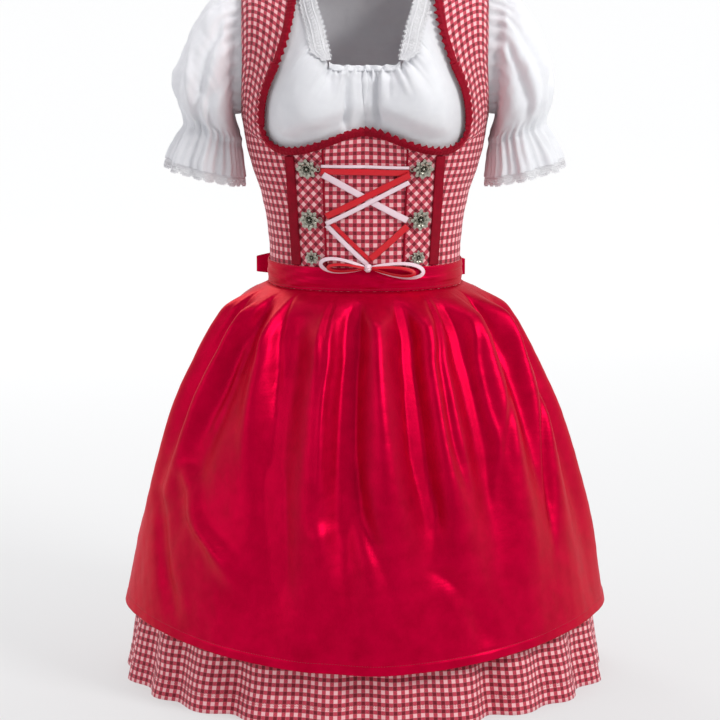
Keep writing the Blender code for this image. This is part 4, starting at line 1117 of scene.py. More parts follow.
def makeLacing():
    for name, node, colour, start, end, width, lift in lacing["stretches"]:
        share = np.linspace(0, 1, 60)[:, None]
        line = np.array(start) * (1 - share) + np.array(end) * share
        bend = 0.0009 * np.sin(math.pi * share[:, 0]) * math.copysign(1.0, start[0])
        line[:, 1] -= np.abs(bend)
        points = strap(line, width * 0.98, lift + lacing["wall"], 9, 0.0004)
        cockle = 0.00035 * ripple(points, 0.012, len(name)) * np.sin(math.pi * share)
        points[..., 1] -= cockle
        piece = gridPiece(name, points, ribbonCut(points), colour, lacing["wall"])
        worn(piece, colour, node)
        ribbonSheet(points)


def bandFront(side):  # how far forward the waistband's face is
    halfWidth, depth, square = lacing["waistband"]
    share = (np.abs(side) / halfWidth) ** square
    return depth * (1 - share) ** (1 / square) + 0.0038


def looseRibbon(path, across, width, columns=9, cup=0.0):
    across = unit(across)
    normal = unit(np.cross(np.gradient(path, axis=0), across))
    halves = np.linspace(-0.5, 0.5, columns)
    points = path[:, None, :] + across[:, None, :] * (np.reshape(width, (-1, 1)) * halves)[..., None]
    return points + normal[:, None, :] * (cup * (1 - 4 * halves**2))[None, :, None]


def makeLaceBow():
    knot = np.array(lacing["knot"])
    for name, node, colour, reach, drop, swell, width, front in lacing["loops"]:
        turns = np.linspace(0.05, 0.95, 90) * 2 * math.pi
        out = 0.5 * (1 - np.cos(turns))
        side = knot[0] + math.copysign(0.0040, reach) + reach * out
        height = knot[2] + drop * out + swell * np.sin(turns) * np.sqrt(out + 0.05)
        depth = -bandFront(side) - front
        path = np.column_stack([side, depth, height])
        along = unit(np.gradient(path[:, [0, 2]], axis=0))
        lean = math.copysign(0.78, reach) * (0.8 + 0.2 * np.cos(turns * 2))
        across = np.column_stack([lean * along[:, 1], np.full(len(turns), -0.62), -lean * along[:, 0]])
        points = looseRibbon(path, across, width * (0.72 + 0.28 * out), 9, 0.0003)
        piece = gridPiece(
            name, points, ribbonCut(points), colour, lacing["wall"], inside=lambda c: c + [0, 1, 0]
        )
        worn(piece, colour, node)
        ribbonSheet(points)
    makeKnot("laceKnot", knot, lacing["knotReach"], "white", "lace_knot", 5, 0.00045)


def makeKnot(name, centre, reach, paint, node, wraps, crease):  # a pulled knot, creased round
    rows, columns = 40, 64
    turn = np.linspace(0, 2 * math.pi, columns, endpoint=False)[None, :]
    rise = np.linspace(-math.pi / 2 + 0.05, math.pi / 2 - 0.05, rows)[:, None]
    folds = crease * np.sin(wraps * 2 * rise + 0.8 * np.sin(turn * 2)) * np.cos(rise)
    folds = folds + crease * 0.8 * np.sin(3 * turn + 2 * rise) * np.cos(rise)
    ball = [np.cos(rise) * np.cos(turn), np.cos(rise) * np.sin(turn), np.sin(rise) + 0 * turn]
    points = np.stack([c * (r + folds) for c, r in zip(ball, reach)], axis=-1) + np.array(centre)
    cut = np.zeros((rows, columns + 1, 2))
    cut[..., 0] = np.linspace(0, 2 * math.pi * reach[0], columns + 1)[None, :]
    cut[..., 1] = np.linspace(0, math.pi * reach[2], rows)[:, None]
    piece = gridPiece(name, points, cut, paint, inside=lambda c: c * 0 + np.array(centre), ring=True)
    capped = bmesh.new()
    capped.from_mesh(piece.data)
    bmesh.ops.holes_fill(capped, edges=capped.edges, sides=0)
    bmesh.ops.recalc_face_normals(capped, faces=capped.faces)
    capped.to_mesh(piece.data)
    capped.free()
    worn(piece, paint, node)


makeLacing()
makeLaceBow()
print("lacing made")


# Skirt: gathered at the waist, with troughs that deepen towards the hem
skirt = {
    "waistSeam": 0.0008,
    "hem": -0.986,
    "wall": 0.0011,
    "rows": 80,
    "columns": 218,
    "gathers": 30.0,  # fine gathers in each half, at the waist
    "gatherDepth": 0.0012,
    "small": 0.0028,  # depth of the small folds between the large ones
}
hoopRows = np.array([  # height, half width, front, back, squareness
    (-0.4058, 0.1315, 0.1060, 0.1010, 2.2), (-0.4200, 0.1315, 0.1060, 0.1010, 2.2),
    (-0.4305, 0.1315, 0.1060, 0.1010, 2.2), (-0.4400, 0.1485, 0.1200, 0.1170, 2.1),
    (-0.4577, 0.1650, 0.1330, 0.1325, 2.1), (-0.4860, 0.1857, 0.1500, 0.1520, 2.1),
    (-0.5140, 0.2020, 0.1650, 0.1670, 2.0), (-0.5420, 0.2165, 0.1775, 0.1800, 2.0),
    (-0.6000, 0.2423, 0.2000, 0.2030, 2.0), (-0.6580, 0.2640, 0.2185, 0.2215, 2.0),
    (-0.7160, 0.2840, 0.2355, 0.2390, 2.0), (-0.7760, 0.3020, 0.2510, 0.2545, 2.0),
    (-0.8360, 0.3145, 0.2620, 0.2655, 2.0), (-0.8970, 0.3270, 0.2730, 0.2765, 2.0),
    (-0.9860, 0.3445, 0.2880, 0.2920, 2.0),
])
hoopAt = through(-hoopRows[:, 0], hoopRows[:, 1:])
skirtFolds = [  # angle at the waist, at the hem, depth, width in degrees
    (8, 6, 0.016, 5.0), (26, 25, 0.020, 5.5), (44, 43, 0.012, 4.5), (60, 59, 0.022, 4.0),
    (75, 77, 0.010, 5.0), (91, 90, 0.014, 5.0), (108, 105, 0.009, 5.0), (121, 123, 0.020, 4.5),
    (139, 141, 0.012, 5.0), (157, 156, 0.018, 5.5), (175, 174, 0.014, 5.0), (193, 194, 0.021, 5.5),
    (211, 209, 0.017, 5.0), (228, 229, 0.023, 5.5), (246, 247, 0.018, 5.0), (263, 262, 0.022, 5.5),
    (280, 281, 0.019, 5.0), (298, 297, 0.024, 5.5), (316, 317, 0.017, 5.0), (333, 333, 0.021, 5.5),
    (350, 349, 0.015, 5.0),
]


def hoopPoints(angle, height):
    halfWidth, front, back, square = np.moveaxis(hoopAt(-np.asarray(height, float)), -1, 0)
    across, deep = rounded(angle, square)
    y = -np.where(deep > 0, front, back) * deep
    return np.stack([halfWidth * across, y, np.broadcast_to(height, y.shape)], axis=-1)


def hoop(angle, height):  # the skirt's outermost line, and the way out from it
    step = 0.004
    turn = hoopPoints(angle + step, height) - hoopPoints(angle - step, height)
    out = np.stack([-turn[..., 1], turn[..., 0], 0 * turn[..., 0]], axis=-1)
    base = hoopPoints(angle, height)
    out *= np.sign(np.sum(out[..., :2] * base[..., :2], axis=-1))[..., None]
    return base, out / np.linalg.norm(out, axis=-1, keepdims=True)


def bump(angle, centre, width):
    off = (np.degrees(angle) - centre + 180) % 360 - 180
    return np.exp(-((off / width) ** 2))


def skirtPoint(angle, height, inset=0.0):
    base, normal = hoop(angle, height)
    down = (shape["waist"] - height) / (shape["waist"] - skirt["hem"])
    trough = 0
    for top, foot, depth, width in skirtFolds:
        trough = trough + depth * bump(angle, top + (foot - top) * down, width)
    deeper = eased((down - 0.045) / 0.25) * (0.45 + 0.55 * down)
    random = np.random.default_rng(5)
    small = 0
    for _ in range(34):
        centre = random.uniform(0, 360) + random.uniform(-4, 4) * down
        small = small + random.uniform(0.3, 1.0) * bump(angle, centre, random.uniform(1.6, 3.4))
    soft = 0.0012 * (1 + ripple(base, 0.07, 21)) * eased(down / 0.3)
    fold = trough * deeper + skirt["small"] * small * eased((down - 0.1) / 0.5) + soft
    return base - normal * (fold + inset)[..., None]


def makeSkirt():
    top = shape["waist"] - skirt["waistSeam"]
    share = np.linspace(0, 1, skirt["rows"])
    heights = top + (skirt["hem"] - top) * share
    for name, start, node in (("skirtFront", 0.0, "skirt_front"), ("skirtBack", 180.0, "skirt_back")):
        angles = np.radians(start + np.linspace(0.1, 179.9, skirt["columns"]))
        angle, height = np.meshgrid(angles, heights)
        points = skirtPoint(angle, height)
        atHem = clothRun(points)[-1, :, 0]
        fullness = 0.55 + 0.45 * eased(share / 0.55)  # the cut narrows towards the waist
        cut = np.stack([
            atHem[None, :] * fullness[:, None],
            np.broadcast_to((runs(points)[:, skirt["columns"] // 2])[:, None], angle.shape),
        ], axis=-1)
        hold = np.clip(1 - (share - 0.03) / 0.30, 0, 1)
        hold = hold * eased(share / 0.045) * eased((1 - share) / 0.1)
        turns = np.linspace(0, 1, skirt["columns"])
        piece = gridPiece(
            name, points, cut, "gingham", marks={"round": turns[None, :], "hold": hold[:, None]}
        )
        grown(piece, "gathers", {
            "Count": skirt["gathers"], "Depth": skirt["gatherDepth"], "Wander": 1.2, "Seed": start / 90,
            "Cloth": finish["gingham"],
        })
        worn(walled(piece, skirt["wall"]), "gingham", node)
        cutSheet(piece)
    rows = []
    for start, end in ((0.4, 179.6), (180.4, 359.6)):
        angle = np.radians(np.linspace(start, end, 500))
        for up in (0.024, 0.0265):
            rows.append(skirtPoint(angle, np.full_like(angle, skirt["hem"] + up), -0.0003))
    sewn("skirtHemStitches", rows, "redThread")


makeSkirt()
print("skirt made")


# Apron: one pleated sheet of satin, sewn into its band
apron = {
    "ends": (-8.0, 188.0),
    "band": (-0.3975, -0.4295),  # height of its top and its foot
    "hem": (-0.912, -0.882),  # height at the middle and at the sides
    "lift": 0.0150,
    "depth": 1.7,
    "topLift": 0.0036,
    "least": 0.0036,
    "wall": 0.0009,
    "columns": 262,
    "rows": [(0.0, 0.25, 35), (0.25, 0.96, 61), (0.96, 1.0, 13)],  # from, to, how many
    "soft": 0.0010,
}
apronPleats = [  # angle at the band, at the hem, height, width, share where it starts and has faded
    (170, 168, 0.009, 5.0, 0.00, 0.9), (158, 160, -0.006, 4.5, 0.00, 0.7),
    (147, 163, 0.012, 4.0, 0.00, 0.8), (140, 148, -0.007, 5.0, 0.00, 0.9),
    (131, 119, 0.010, 4.0, 0.04, 0.6), (119, 112, -0.007, 6.0, 0.05, 1.2),
    (107, 102, 0.009, 5.0, 0.05, 0.9), (95, 96, -0.010, 4.0, 0.00, 1.3),
    (86, 86, 0.010, 6.0, 0.00, 1.1), (74, 72, -0.010, 4.0, 0.00, 1.1),
    (64, 66, 0.010, 5.0, 0.00, 1.0), (52, 56, -0.009, 4.5, 0.00, 1.0),
    (40, 47, 0.011, 5.0, 0.00, 0.9), (29, 37, -0.006, 4.0, 0.00, 0.9),
    (20, 28, 0.010, 4.5, 0.00, 0.8), (9, 20, -0.006, 5.0, 0.05, 1.2),
    (0, 8, 0.008, 5.0, 0.00, 1.1),
]
apronFolds = [  # height, width in degrees, then the fold's line as (share, angle)
    (0.0030, 1.8, [(0.00, 146), (0.06, 143.4), (0.15, 142), (0.28, 141), (0.41, 144), (0.51, 147)]),
    (0.0075, 4.2, [(0.50, 151), (0.58, 144), (0.66, 138), (0.72, 129), (0.84, 121)]),
    (-0.0040, 1.5, [(0.00, 129.5), (0.08, 126), (0.16, 124), (0.29, 120), (0.44, 114.5)]),
    (0.0028, 0.9, [(0.02, 103.4), (0.10, 102.6), (0.28, 103), (0.41, 102.4), (0.60, 101.4)]),
    (-0.0085, 2.6, [
        (0.00, 93.6), (0.10, 92.4), (0.22, 94.5), (0.41, 94.5), (0.59, 90), (0.72, 85.5), (0.90, 85),
    ]),
    (0.0060, 4.2, [(0.01, 86.9), (0.17, 85.5), (0.35, 84.2), (0.53, 82), (0.74, 77.6)]),
    (-0.0078, 2.0, [(0.00, 76), (0.15, 74), (0.33, 75.4), (0.44, 75.2), (0.55, 72), (0.72, 70)]),
    (0.0045, 3.0, [(0.02, 67.6), (0.17, 69), (0.36, 69.3), (0.55, 68.3), (0.74, 66.8)]),
    (-0.0068, 1.9, [(0.00, 57.5), (0.12, 62), (0.28, 63.9), (0.39, 64), (0.60, 61)]),
    (0.0032, 1.3, [(0.04, 43), (0.19, 47.5), (0.33, 49), (0.43, 48.6), (0.52, 51.4), (0.66, 53.3)]),
    (-0.0035, 1.8, [(0.00, 28), (0.10, 30), (0.21, 33), (0.34, 42), (0.42, 45), (0.58, 46)]),
    (0.0045, 2.4, [(0.03, 17), (0.19, 23.6), (0.33, 27.3), (0.48, 30.3), (0.66, 33.5)]),
    (-0.0055, 1.6, [(0.12, 12), (0.28, 20), (0.45, 27), (0.62, 31.2), (0.80, 36)]),
    (-0.0045, 3.6, [(0.60, 162), (0.80, 150), (1.00, 137)]),
    (-0.0045, 4.0, [(0.45, 118), (0.66, 112), (0.90, 109)]),
    (0.0045, 3.2, [(0.58, 102), (0.80, 97), (1.00, 93)]),
    (-0.0040, 3.0, [(0.70, 74), (0.80, 66), (1.00, 60)]),
]
apronTucks = [142, 128, 105, 94, 75, 55, 36, 28, 12, 162]  # knife pleats under the band


def apronPoint(angle, share, out=0.0):
    middle, side = apron["hem"]
    foot = middle + (side - middle) * eased(np.abs(np.degrees(angle) - 90) / 75)
    top = apron["band"][1] - 0.0003
    base, normal = hoop(angle, top + (foot - top) * share)
    lift = apron["lift"]
    for atBand, atHem, height, width, start, end in apronPleats:
        centre = atBand + (atHem - atBand) * share
        life = eased((share - start + 0.02) / 0.10) * (1 - eased((share - 0.35 * end) / (0.65 * end)))
        lift = lift + apron["depth"] * height * life * bump(angle, centre, width * (1 + 0.2 * share))
    for height, width, line in apronFolds:
        places = np.array(line)
        first, last = places[0, 0], places[-1, 0]
        centre = through(places[:, 0], places[:, 1])(share)
        life = eased((share - first) / 0.06 + 0.2 * (first == 0))
        life = life * eased((last - share) / (0.35 * (last - first)))
        lift = lift + apron["depth"] * height * life * bump(angle, centre, width)
    for place in apronTucks:
        off = (np.degrees(angle) - place) / 1.1
        tuck = np.exp(-off**2) - 0.8 * np.exp(-((off - 1.9) ** 2))
        lift = lift - 0.0034 * tuck * np.exp(-((share / 0.16) ** 2))
    soft = ripple(base * [1.0, 1.0, 0.5], 0.075, 31) + 0.35 * ripple(base, 0.022, 32)
    lift = lift + apron["soft"] * soft
    turnedUp = 0.0007 * eased((share - 0.974) / 0.004)
    turnedUp = turnedUp - 0.0004 * np.exp(-(((share - 0.9745) / 0.0022) ** 2))
    lift = np.maximum(lift, apron["least"]) + turnedUp
    settled = eased(share / 0.07)
    reach = apron["topLift"] + (lift - apron["topLift"]) * settled + out
    return base + normal * reach[..., None]


def bandPoint(angle, height, out=0.0):
    base, normal = hoop(angle, np.full_like(height, shape["waist"] - skirt["waistSeam"]))
    base[..., 2] = height
    top, foot = apron["band"]
    rise = (height - foot) / (top - foot)
    turn = np.degrees(angle)
    drift = 0.5 * np.sin(turn / 23.0) + 0.30 * np.sin(turn / 11.0 + 1.0) + 0.12 * np.sin(turn / 6.1 + 2.0)
    crease = 0.0006 * np.sin(2 * math.pi * (2.3 * rise + drift))
    crease = crease + 0.0003 * np.sin(2 * math.pi * (5.1 * rise - 1.3 * drift))
    crease = crease * np.sin(math.pi * np.clip(rise, 0, 1)) ** 0.5
    swell = 0.0010 * np.sin(math.pi * np.clip(rise, 0, 1))
    seam = 0.0006 * np.exp(-(((rise - 0.10) / 0.05) ** 2))
    return base + normal * (0.0028 + swell + crease - seam + out)[..., None]


def makeApron():
    angles = np.radians(np.linspace(*apron["ends"], apron["columns"]))
    share = [np.linspace(start, end, count, endpoint=False) for start, end, count in apron["rows"]]
    share = np.append(np.concatenate(share), 1.0)
    angle, down = np.meshgrid(angles, share)
    points = apronPoint(angle, down)
    run = clothRun(points)
    across = run[-1, :, 0] * (0.62 + 0.38 * eased(share / 0.6))[:, None]  # narrower towards the band
    along = np.broadcast_to(run[:, len(angles) // 2, 1:2], down.shape)
    cut = np.stack([across, along], axis=-1)
    sheet = gridPiece("apronSkirt", points, cut, "satin", apron["wall"])
    worn(sheet, "satin", "apron_skirt")
    cutSheet(sheet)
    low, high = apron["ends"]
    fine = np.radians(np.linspace(low + 0.3, high - 0.3, 700))
    rows = [apronPoint(fine, np.full_like(fine, 0.9745), 0.0002)]
    for edge in (low + 0.9, high - 0.9):
        side = np.linspace(0.02, 0.97, 220)
        rows.append(apronPoint(np.full_like(side, math.radians(edge)), side, 0.0002))
    sewn("apronHemStitches", rows, "redThread")
    spans = [
        ("apronWaistband", "apron_waistband", low - 4, high + 4, 260, ["skirtFront", "bodiceCentre"]),
        ("apronTieLeft", "apron_tie_left", -88.0, -12.2, 90, ["skirtBack"]),
        ("apronTieRight", "apron_tie_right", 192.2, 268.0, 90, ["skirtBack"]),
    ]
    for name, node, start, end, count, under in spans:
        heights = np.linspace(apron["band"][1], apron["band"][0], 20)
        angle, height = np.meshgrid(np.radians(np.linspace(start, end, count)), heights)
        points = bandPoint(angle, height)
        band = gridPiece(name, points, clothRun(points), "satin", 0.0014, bevel=0.0003)
        worn(band, "satin", node)
        cutSheet(band)
    seams = []
    for start, end in ((-87.5, -12.5), (-11.6, 191.6), (192.5, 267.5)):
        turn = np.radians(np.linspace(start, end, 400))
        for edge in (apron["band"][1] + 0.0032, apron["band"][0] - 0.0012):
            seams.append(bandPoint(turn, np.full_like(turn, edge), 0.0001))
    sewn("waistbandStitches", seams, "redThread")


apronBow = {
    "knot": (0.0, 0.1134, -0.4130),
    "knotReach": (0.0132, 0.0097, 0.0167),
    "loops": [("Right", -0.1420, -0.008), ("Left", 0.1300, -0.012)],  # side, reach, drop
    "tails": [("Right", 1.0, 0.33), ("Left", -1.0, 0.30)],  # side, lean, length
    "wall": 0.0009,
}


def makeApronBow():
    knot = np.array(apronBow["knot"])
    makeKnot("apronKnot", knot, apronBow["knotReach"], "satin", "apron_knot", 4, 0.0011)
    for word, reach, drop in apronBow["loops"]:
        turns = np.linspace(0.0, 1.0, 110) * 2 * math.pi
        out = 0.5 * (1 - np.cos(turns))
        side = knot[0] + math.copysign(0.0135, reach) + reach * out
        bulge = np.sin(turns)
        depth = knot[1] + np.where(bulge > 0, 0.0135, 0.0070) * bulge - 0.010 * out
        depth[0] += 0.0012
        depth[-1] -= 0.0012
        path = np.column_stack([side, depth, knot[2] + drop * out])
        across = np.column_stack([0 * out, -0.10 * bulge, np.ones(len(out))])
        points = looseRibbon(path, across, 0.022 + 0.018 * np.sin(math.pi * out**0.7), 25)
        halves = np.linspace(-1, 1, 25)[None, :]
        pinch = 0.0018 * np.cos(3 * math.pi * halves + 0.6 * bulge[:, None]) * (1 - out[:, None]) ** 1.5
        droop = 0.0012 * ripple(points, 0.035, 41) * out[:, None]
        points[..., 1] += (pinch + droop) * np.where(bulge > 0, 1.0, 0.4)[:, None]
        loop = gridPiece("apronLoop" + word, points, clothRun(points), "satin", apronBow["wall"])
        worn(loop, "satin", "apron_loop_" + word.lower())
        cutSheet(loop)
    for word, lean, length in apronBow["tails"]:
        share = np.linspace(0, 1, 100)[:, None]
        heights = apron["band"][1] - 0.003 - (length - 0.003) * share
        middle = 270 + lean * (6.2 + 2.2 * share)
        width, radius = 0.022 + 0.012 * share, 0.12 + 0.13 * share
        halves = np.linspace(-1.0, 1.0, 21)[None, :]
        angle = np.radians(middle + np.degrees(width / (2 * radius)) * halves)
        slant = 0.012 * halves * lean * eased((share - 0.93) / 0.07)
        base, normal = hoop(angle, heights + slant)
        folds = 0.0012 * np.cos(2.2 * math.pi * halves + 2.0 * share) * (1 - 0.6 * share)
        folds = folds + 0.0006 * ripple(base, 0.03, 43)
        points = base + normal * (0.0039 + folds)[..., None]
        tail = gridPiece("apronTail" + word, points, clothRun(points), "satin", apronBow["wall"])
        worn(tail, "satin", "apron_tail_" + word.lower())
        cutSheet(tail)


makeApron()
makeApronBow()
print("apron made")


# Blouse: the body drawn up at the neckline, with its frill, and the lace up both sides
blouse = {
    "hem": -0.262,
    "puff": 0.0095,
    "gather": 0.0026,
    "wall": 0.0008,
    "crowd": 1.6,
    "rows": 170,
    "columns": 46,
    "lace": 0.0185,
    "scallop": 0.0062,
    "cord": 0.00060,
    "picot": 0.00042,
    "frill": [  # rise above the neckline, out from the body, how wavy
        (-0.0032, 0.0007, 0.3), (-0.0012, 0.0013, 0.6), (0.0008, 0.0015, 0.8),
        (0.0030, 0.0012, 1.0), (0.0052, 0.0006, 1.2),
    ],
}
blouseFolds = [  # side, lean, depth, width, foot: the two deep folds between the cups, and small ones
    (-0.0270, 0.020, 0.0105, 0.0046, 0.088), (0.0175, -0.010, 0.0100, 0.0042, 0.085),
    (-0.0060, 0.030, 0.0030, 0.0030, 0.060), (0.0330, 0.060, 0.0030, 0.0034, 0.045),
    (-0.0440, -0.100, 0.0028, 0.0034, 0.040), (0.0050, -0.030, 0.0022, 0.0026, 0.040),
]


def necklineDepth(side, height):  # how far inside the dress's front neckline a spot lies
    half = np.array(dressNeckFront)
    line = np.vstack([half[::-1] * [-1, 1], half[1:]])
    spot = np.stack([side, height], axis=-1)[..., None, :]
    first, step = line[:-1], np.diff(line, axis=0)
    share = np.clip(np.sum((spot - first) * step, axis=-1) / np.sum(step**2, axis=-1), 0, 1)
    distance = np.min(np.linalg.norm(spot - first - share[..., None] * step, axis=-1), axis=-1)
    bottom = np.interp(np.abs(side), half[:6, 0], half[:6, 1])
    wide = np.interp(height, half[7:, 1], half[7:, 0])
    return np.where((height > bottom) & (np.abs(side) < wide), distance, 0.0)


def fullness(places):  # how far the blouse puffs out of the dress's neckline
    bare = form(places)
    return blouse["puff"] * eased((necklineDepth(bare[..., 0], bare[..., 2]) - 0.010) / 0.028)


def blouseHalf(neck, armhole, seam, atBack, rows, columns):
    bottom = float(onFront(0.0, blouse["hem"], atBack)[1])
    hem = np.column_stack([np.linspace(0, math.pi / 2, 60), np.linspace(seam[-1, 1], bottom, 60)])
    share = 1 - (1 - np.linspace(0, 1, rows)) ** blouse["crowd"]  # closer together at the centre
    outer, neck = (
        through(np.linspace(0, 1, 2000), evenly(edge, 2000))(share)
        for edge in (np.vstack([armhole, seam[1:], hem[1:]]), neck)
    )
    outer[:, 0] = np.maximum(outer[:, 0], 0.0015)
    neck[0, 1] = outer[0, 1] = 1 + (0.0003 if atBack else -0.0003)
    half = between(neck, outer, columns)
    other = half[::-1][1:] * np.array([-1, 1]) + np.array([math.pi, 0])
    return np.concatenate([half, other])


def makeBlouse():
    underarmHeight = blouseArmhole["centre"] - blouseArmhole["halfHeight"]
    seam = sideSeam(blouse["hem"], underarmHeight)[::-1]
    neck, armhole = neckEdge(blouseNeckFront)[::-1], armholeEdge(blouseArmhole)[::-1]
    front = blouseHalf(neck, armhole, seam, False, blouse["rows"], blouse["columns"])
    bare = form(front)
    side, height = bare[..., 0], bare[..., 2]
    low = blouseNeckFront[1][1] - height  # metres below the front of the neckline
    column = np.linspace(-1, 1, len(front))[:, None]
    column = np.sign(column) * np.abs(column) ** blouse["crowd"]
    middle = np.exp(-((column / 0.40) ** 6))
    row = np.linspace(0, 1, front.shape[1])[None, :]
    turn = 190.0 * column + 3.0 * np.sin(13 * column) + 1.5 * np.sin(31 * column + 1.0)
    fine = np.sin(turn) * 0.6 + np.sin(turn * 0.53 + 1.3) * 0.6
    life = 0.24 + 0.12 * np.sin(turn * 0.31 + 0.4)
    drawn = blouse["gather"] * fine * (1 - eased(row / life)) * middle
    broad = 0.0030 * np.sin(turn * 0.27 + 0.7) * eased(row / 0.08) * (1 - eased(row / 0.55)) * middle
    held = eased(row / 0.14) * middle + (1 - middle)
    deep = 0
    for place, lean, depth, width, foot in blouseFolds:
        centre = place + lean * np.clip(low, 0, 0.09)
        life = eased((low - 0.002) / 0.012) * eased((foot - low) / 0.025)
        deep = deep + depth * life * np.exp(-(((side - centre) / width) ** 2))
    soft = 0.0011 * ripple(bare * [1.0, 1.0, 0.6], 0.045, 51) * eased(fullness(front) / 0.004)
    out = fullness(front) * held + drawn + broad - deep + soft + 0.0012 * middle * (1 - eased(row / 0.3))
    points = form(front, out)
    cloth = gridPiece("blouseFront", points, clothRun(points), "cotton", blouse["wall"])
    worn(cloth, "cotton", "blouse_front")
    cutSheet(cloth)
    neck, armhole = neckEdge(blouseNeckBack, True)[::-1], armholeEdge(blouseArmhole, True)[::-1]
    back = blouseHalf(neck, armhole, behind(seam), True, 80, 40)
    bare = form(back)
    waves = 0.0011 * ripple(bare * [1.0, 1.0, 0.35], 0.05, 52) + 0.0006 * ripple(bare, 0.022, 53)
    points = form(back, waves - 0.0006)
    cloth = gridPiece("blouseBack", points, clothRun(points), "cotton", blouse["wall"])
    worn(cloth, "cotton", "blouse_back")
    cutSheet(cloth)
    makeNeckFrill()
    makeNeckLace()
    band = form(neckEdge(blouseNeckBack, True)[:-4] + np.array([0.0, 0.028]), -0.0016)
    sewn("blouseBackStitches", [band, mirrored(band)], "whiteThread")


def makeNeckFrill():  # the narrow gathered edge along the front of the neckline
    across = np.linspace(-0.0475, 0.0475, 420)
    heights = np.interp(np.abs(across), *zip(*blouseNeckFront[:4]))
    turn = across / 0.00215 + 0.7 * np.sin(across / 0.0041) + 0.5 * np.sin(across / 0.0107)
    rows = []
    for rise, out, wavy in blouse["frill"]:
        places = onFront(across, heights + rise + 0.0004 * wavy * np.sin(turn * 0.5))
        lift = 0.0012 + out + 0.0015 * wavy * np.sin(turn)
        rows.append(form(places, lift))
    points = np.stack(rows)
    frill = gridPiece("neckFrill", points, clothRun(points), "cotton", 0.0005)
    worn(frill, "cotton")
    cutSheet(frill)
    seam = form(onFront(across, heights - 0.0021), 0.0030)
    sewn("neckFrillStitches", [seam], "whiteThread")


def makeNeckLace():
    neck = np.array(blouseNeckFront[3:])
    line = through(runs(neck), neck)(np.linspace(0.002, runs(neck)[-1] - 0.0045, 150))
    run = runs(line)
    scallop = 0.0011 * np.cos(2 * math.pi * run / blouse["scallop"])
    freed = eased((run if line[0, 1] < line[-1, 1] else run[-1] - run) / 0.014)
    for word, mirror in leftAndRight:
        columns = []
        for share in np.linspace(0, 1, 9):
            near = -0.0015 + (blouse["lace"] + 0.0015) * share * (0.45 + 0.55 * freed)
            wave = scallop * (abs(share - 0.5) * 2) ** 3 * (1 if share > 0.5 else -1)
            columns.append(onFront(line[:, 0] + near + wave, line[:, 1] - 0.12 * near))
        grid = np.stack(columns, axis=1)
        middleShare = np.linspace(-1, 1, 9)[None, :]
        crinkle = 0.0005 * ripple(form(grid), 0.012, 61) - 0.0006 * middleShare**2
        points = form(grid, fullness(grid) + 0.0008 + 0.0016 * freed[:, None] + crinkle)
        points = mirrored(points, mirror)
        strip = gridPiece("neckLace" + word, points, clothRun(points), "lace", 0.0)
        worn(strip, "lace", "neck_lace_" + word.lower())
        cutSheet(strip)
        zig = [points[k, 3 + 2 * (k // 3 % 2)] for k in range(0, len(points), 3)]
        threads = [points[:, column] for column in (0, 2, 6, 8)] + [np.array(zig)]
        strung("neckLaceCords" + word, threads, "laceThread", blouse["cord"])
        picots = []
        for column in (8, 0):
            for k in range(3, len(points) - 3, 4):
                away = unit(points[k, column] - points[k, 4])
                along = unit(points[k + 1, column] - points[k - 1, column])
                picots.append(circle(points[k, column] + away * 0.0010, along, away, 0.0014))
        strung("neckLacePicots" + word, picots, "laceThread", blouse["picot"], sides=4, closed=True)


makeBlouse()
print("blouse made")


# Sleeves: puffs drawn in at the head and by an elastic, each with its flounce and lace
cuffs = np.array([  # along, outer side and height, inner side and height, half depth, gather, flute
    (0.00, 0.1650, -0.0300, 0.1672, -0.1960, 0.0405, 0.0000, 0.0000),
    (0.05, 0.1800, -0.0298, 0.1790, -0.1968, 0.0425, 0.0008, 0.0000),
    (0.12, 0.1965, -0.0350, 0.1800, -0.2010, 0.0560, 0.0018, 0.0010),
    (0.20, 0.2150, -0.0520, 0.1790, -0.2065, 0.0660, 0.0014, 0.0022),
    (0.30, 0.2360, -0.0830, 0.1770, -0.2120, 0.0710, 0.0008, 0.0032),
    (0.42, 0.2510, -0.1190, 0.1750, -0.2175, 0.0715, 0.0006, 0.0036),
    (0.53, 0.2590, -0.1530, 0.1735, -0.2225, 0.0680, 0.0010, 0.0032),
    (0.61, 0.2575, -0.1800, 0.1725, -0.2280, 0.0580, 0.0016, 0.0016),
    (0.68, 0.2480, -0.2020, 0.1720, -0.2330, 0.0480, 0.0020, 0.0004),
    (0.72, 0.2470, -0.2110, 0.1725, -0.2370, 0.0455, 0.0018, 0.0000),
    (0.80, 0.2550, -0.2250, 0.1710, -0.2480, 0.0505, 0.0030, 0.0004),
    (0.90, 0.2650, -0.2440, 0.1690, -0.2680, 0.0565, 0.0042, 0.0010),
    (1.00, 0.2712, -0.2600, 0.1675, -0.2850, 0.0600, 0.0048, 0.0012),
    (1.06, 0.2745, -0.2715, 0.1668, -0.2970, 0.0620, 0.0050, 0.0012),
])
cuffAt = through(cuffs[:, 0], cuffs[:, 1:])
sleeve = {
    "wall": 0.0009,
    "around": 130,
    "gathers": 26.0,
    "gatherDepth": 0.0022,
    "depth": 1.6,
    "scallops": 20,
    "rows": [(0.012, 0.62, 58), (0.63, 0.80, 22), (0.81, 1.0, 19)],  # from, to, how many
    "stitching": [(0.694, 0.0004), (0.716, 0.0004), (0.992, 0.0003)],  # along, lift
    "eyelets": [  # in each scallop: down, along, radius
        (0.62, 0.5, 0.0021), (0.31, 0.0, 0.0013), (0.31, 0.5, 0.0013),
        (0.78, 0.27, 0.0011), (0.78, 0.73, 0.0011),
    ],
    "picots": (0.1, 0.26, 0.42, 0.58, 0.74, 0.9),
    "cord": 0.00060,
    "picot": 0.00042,
}
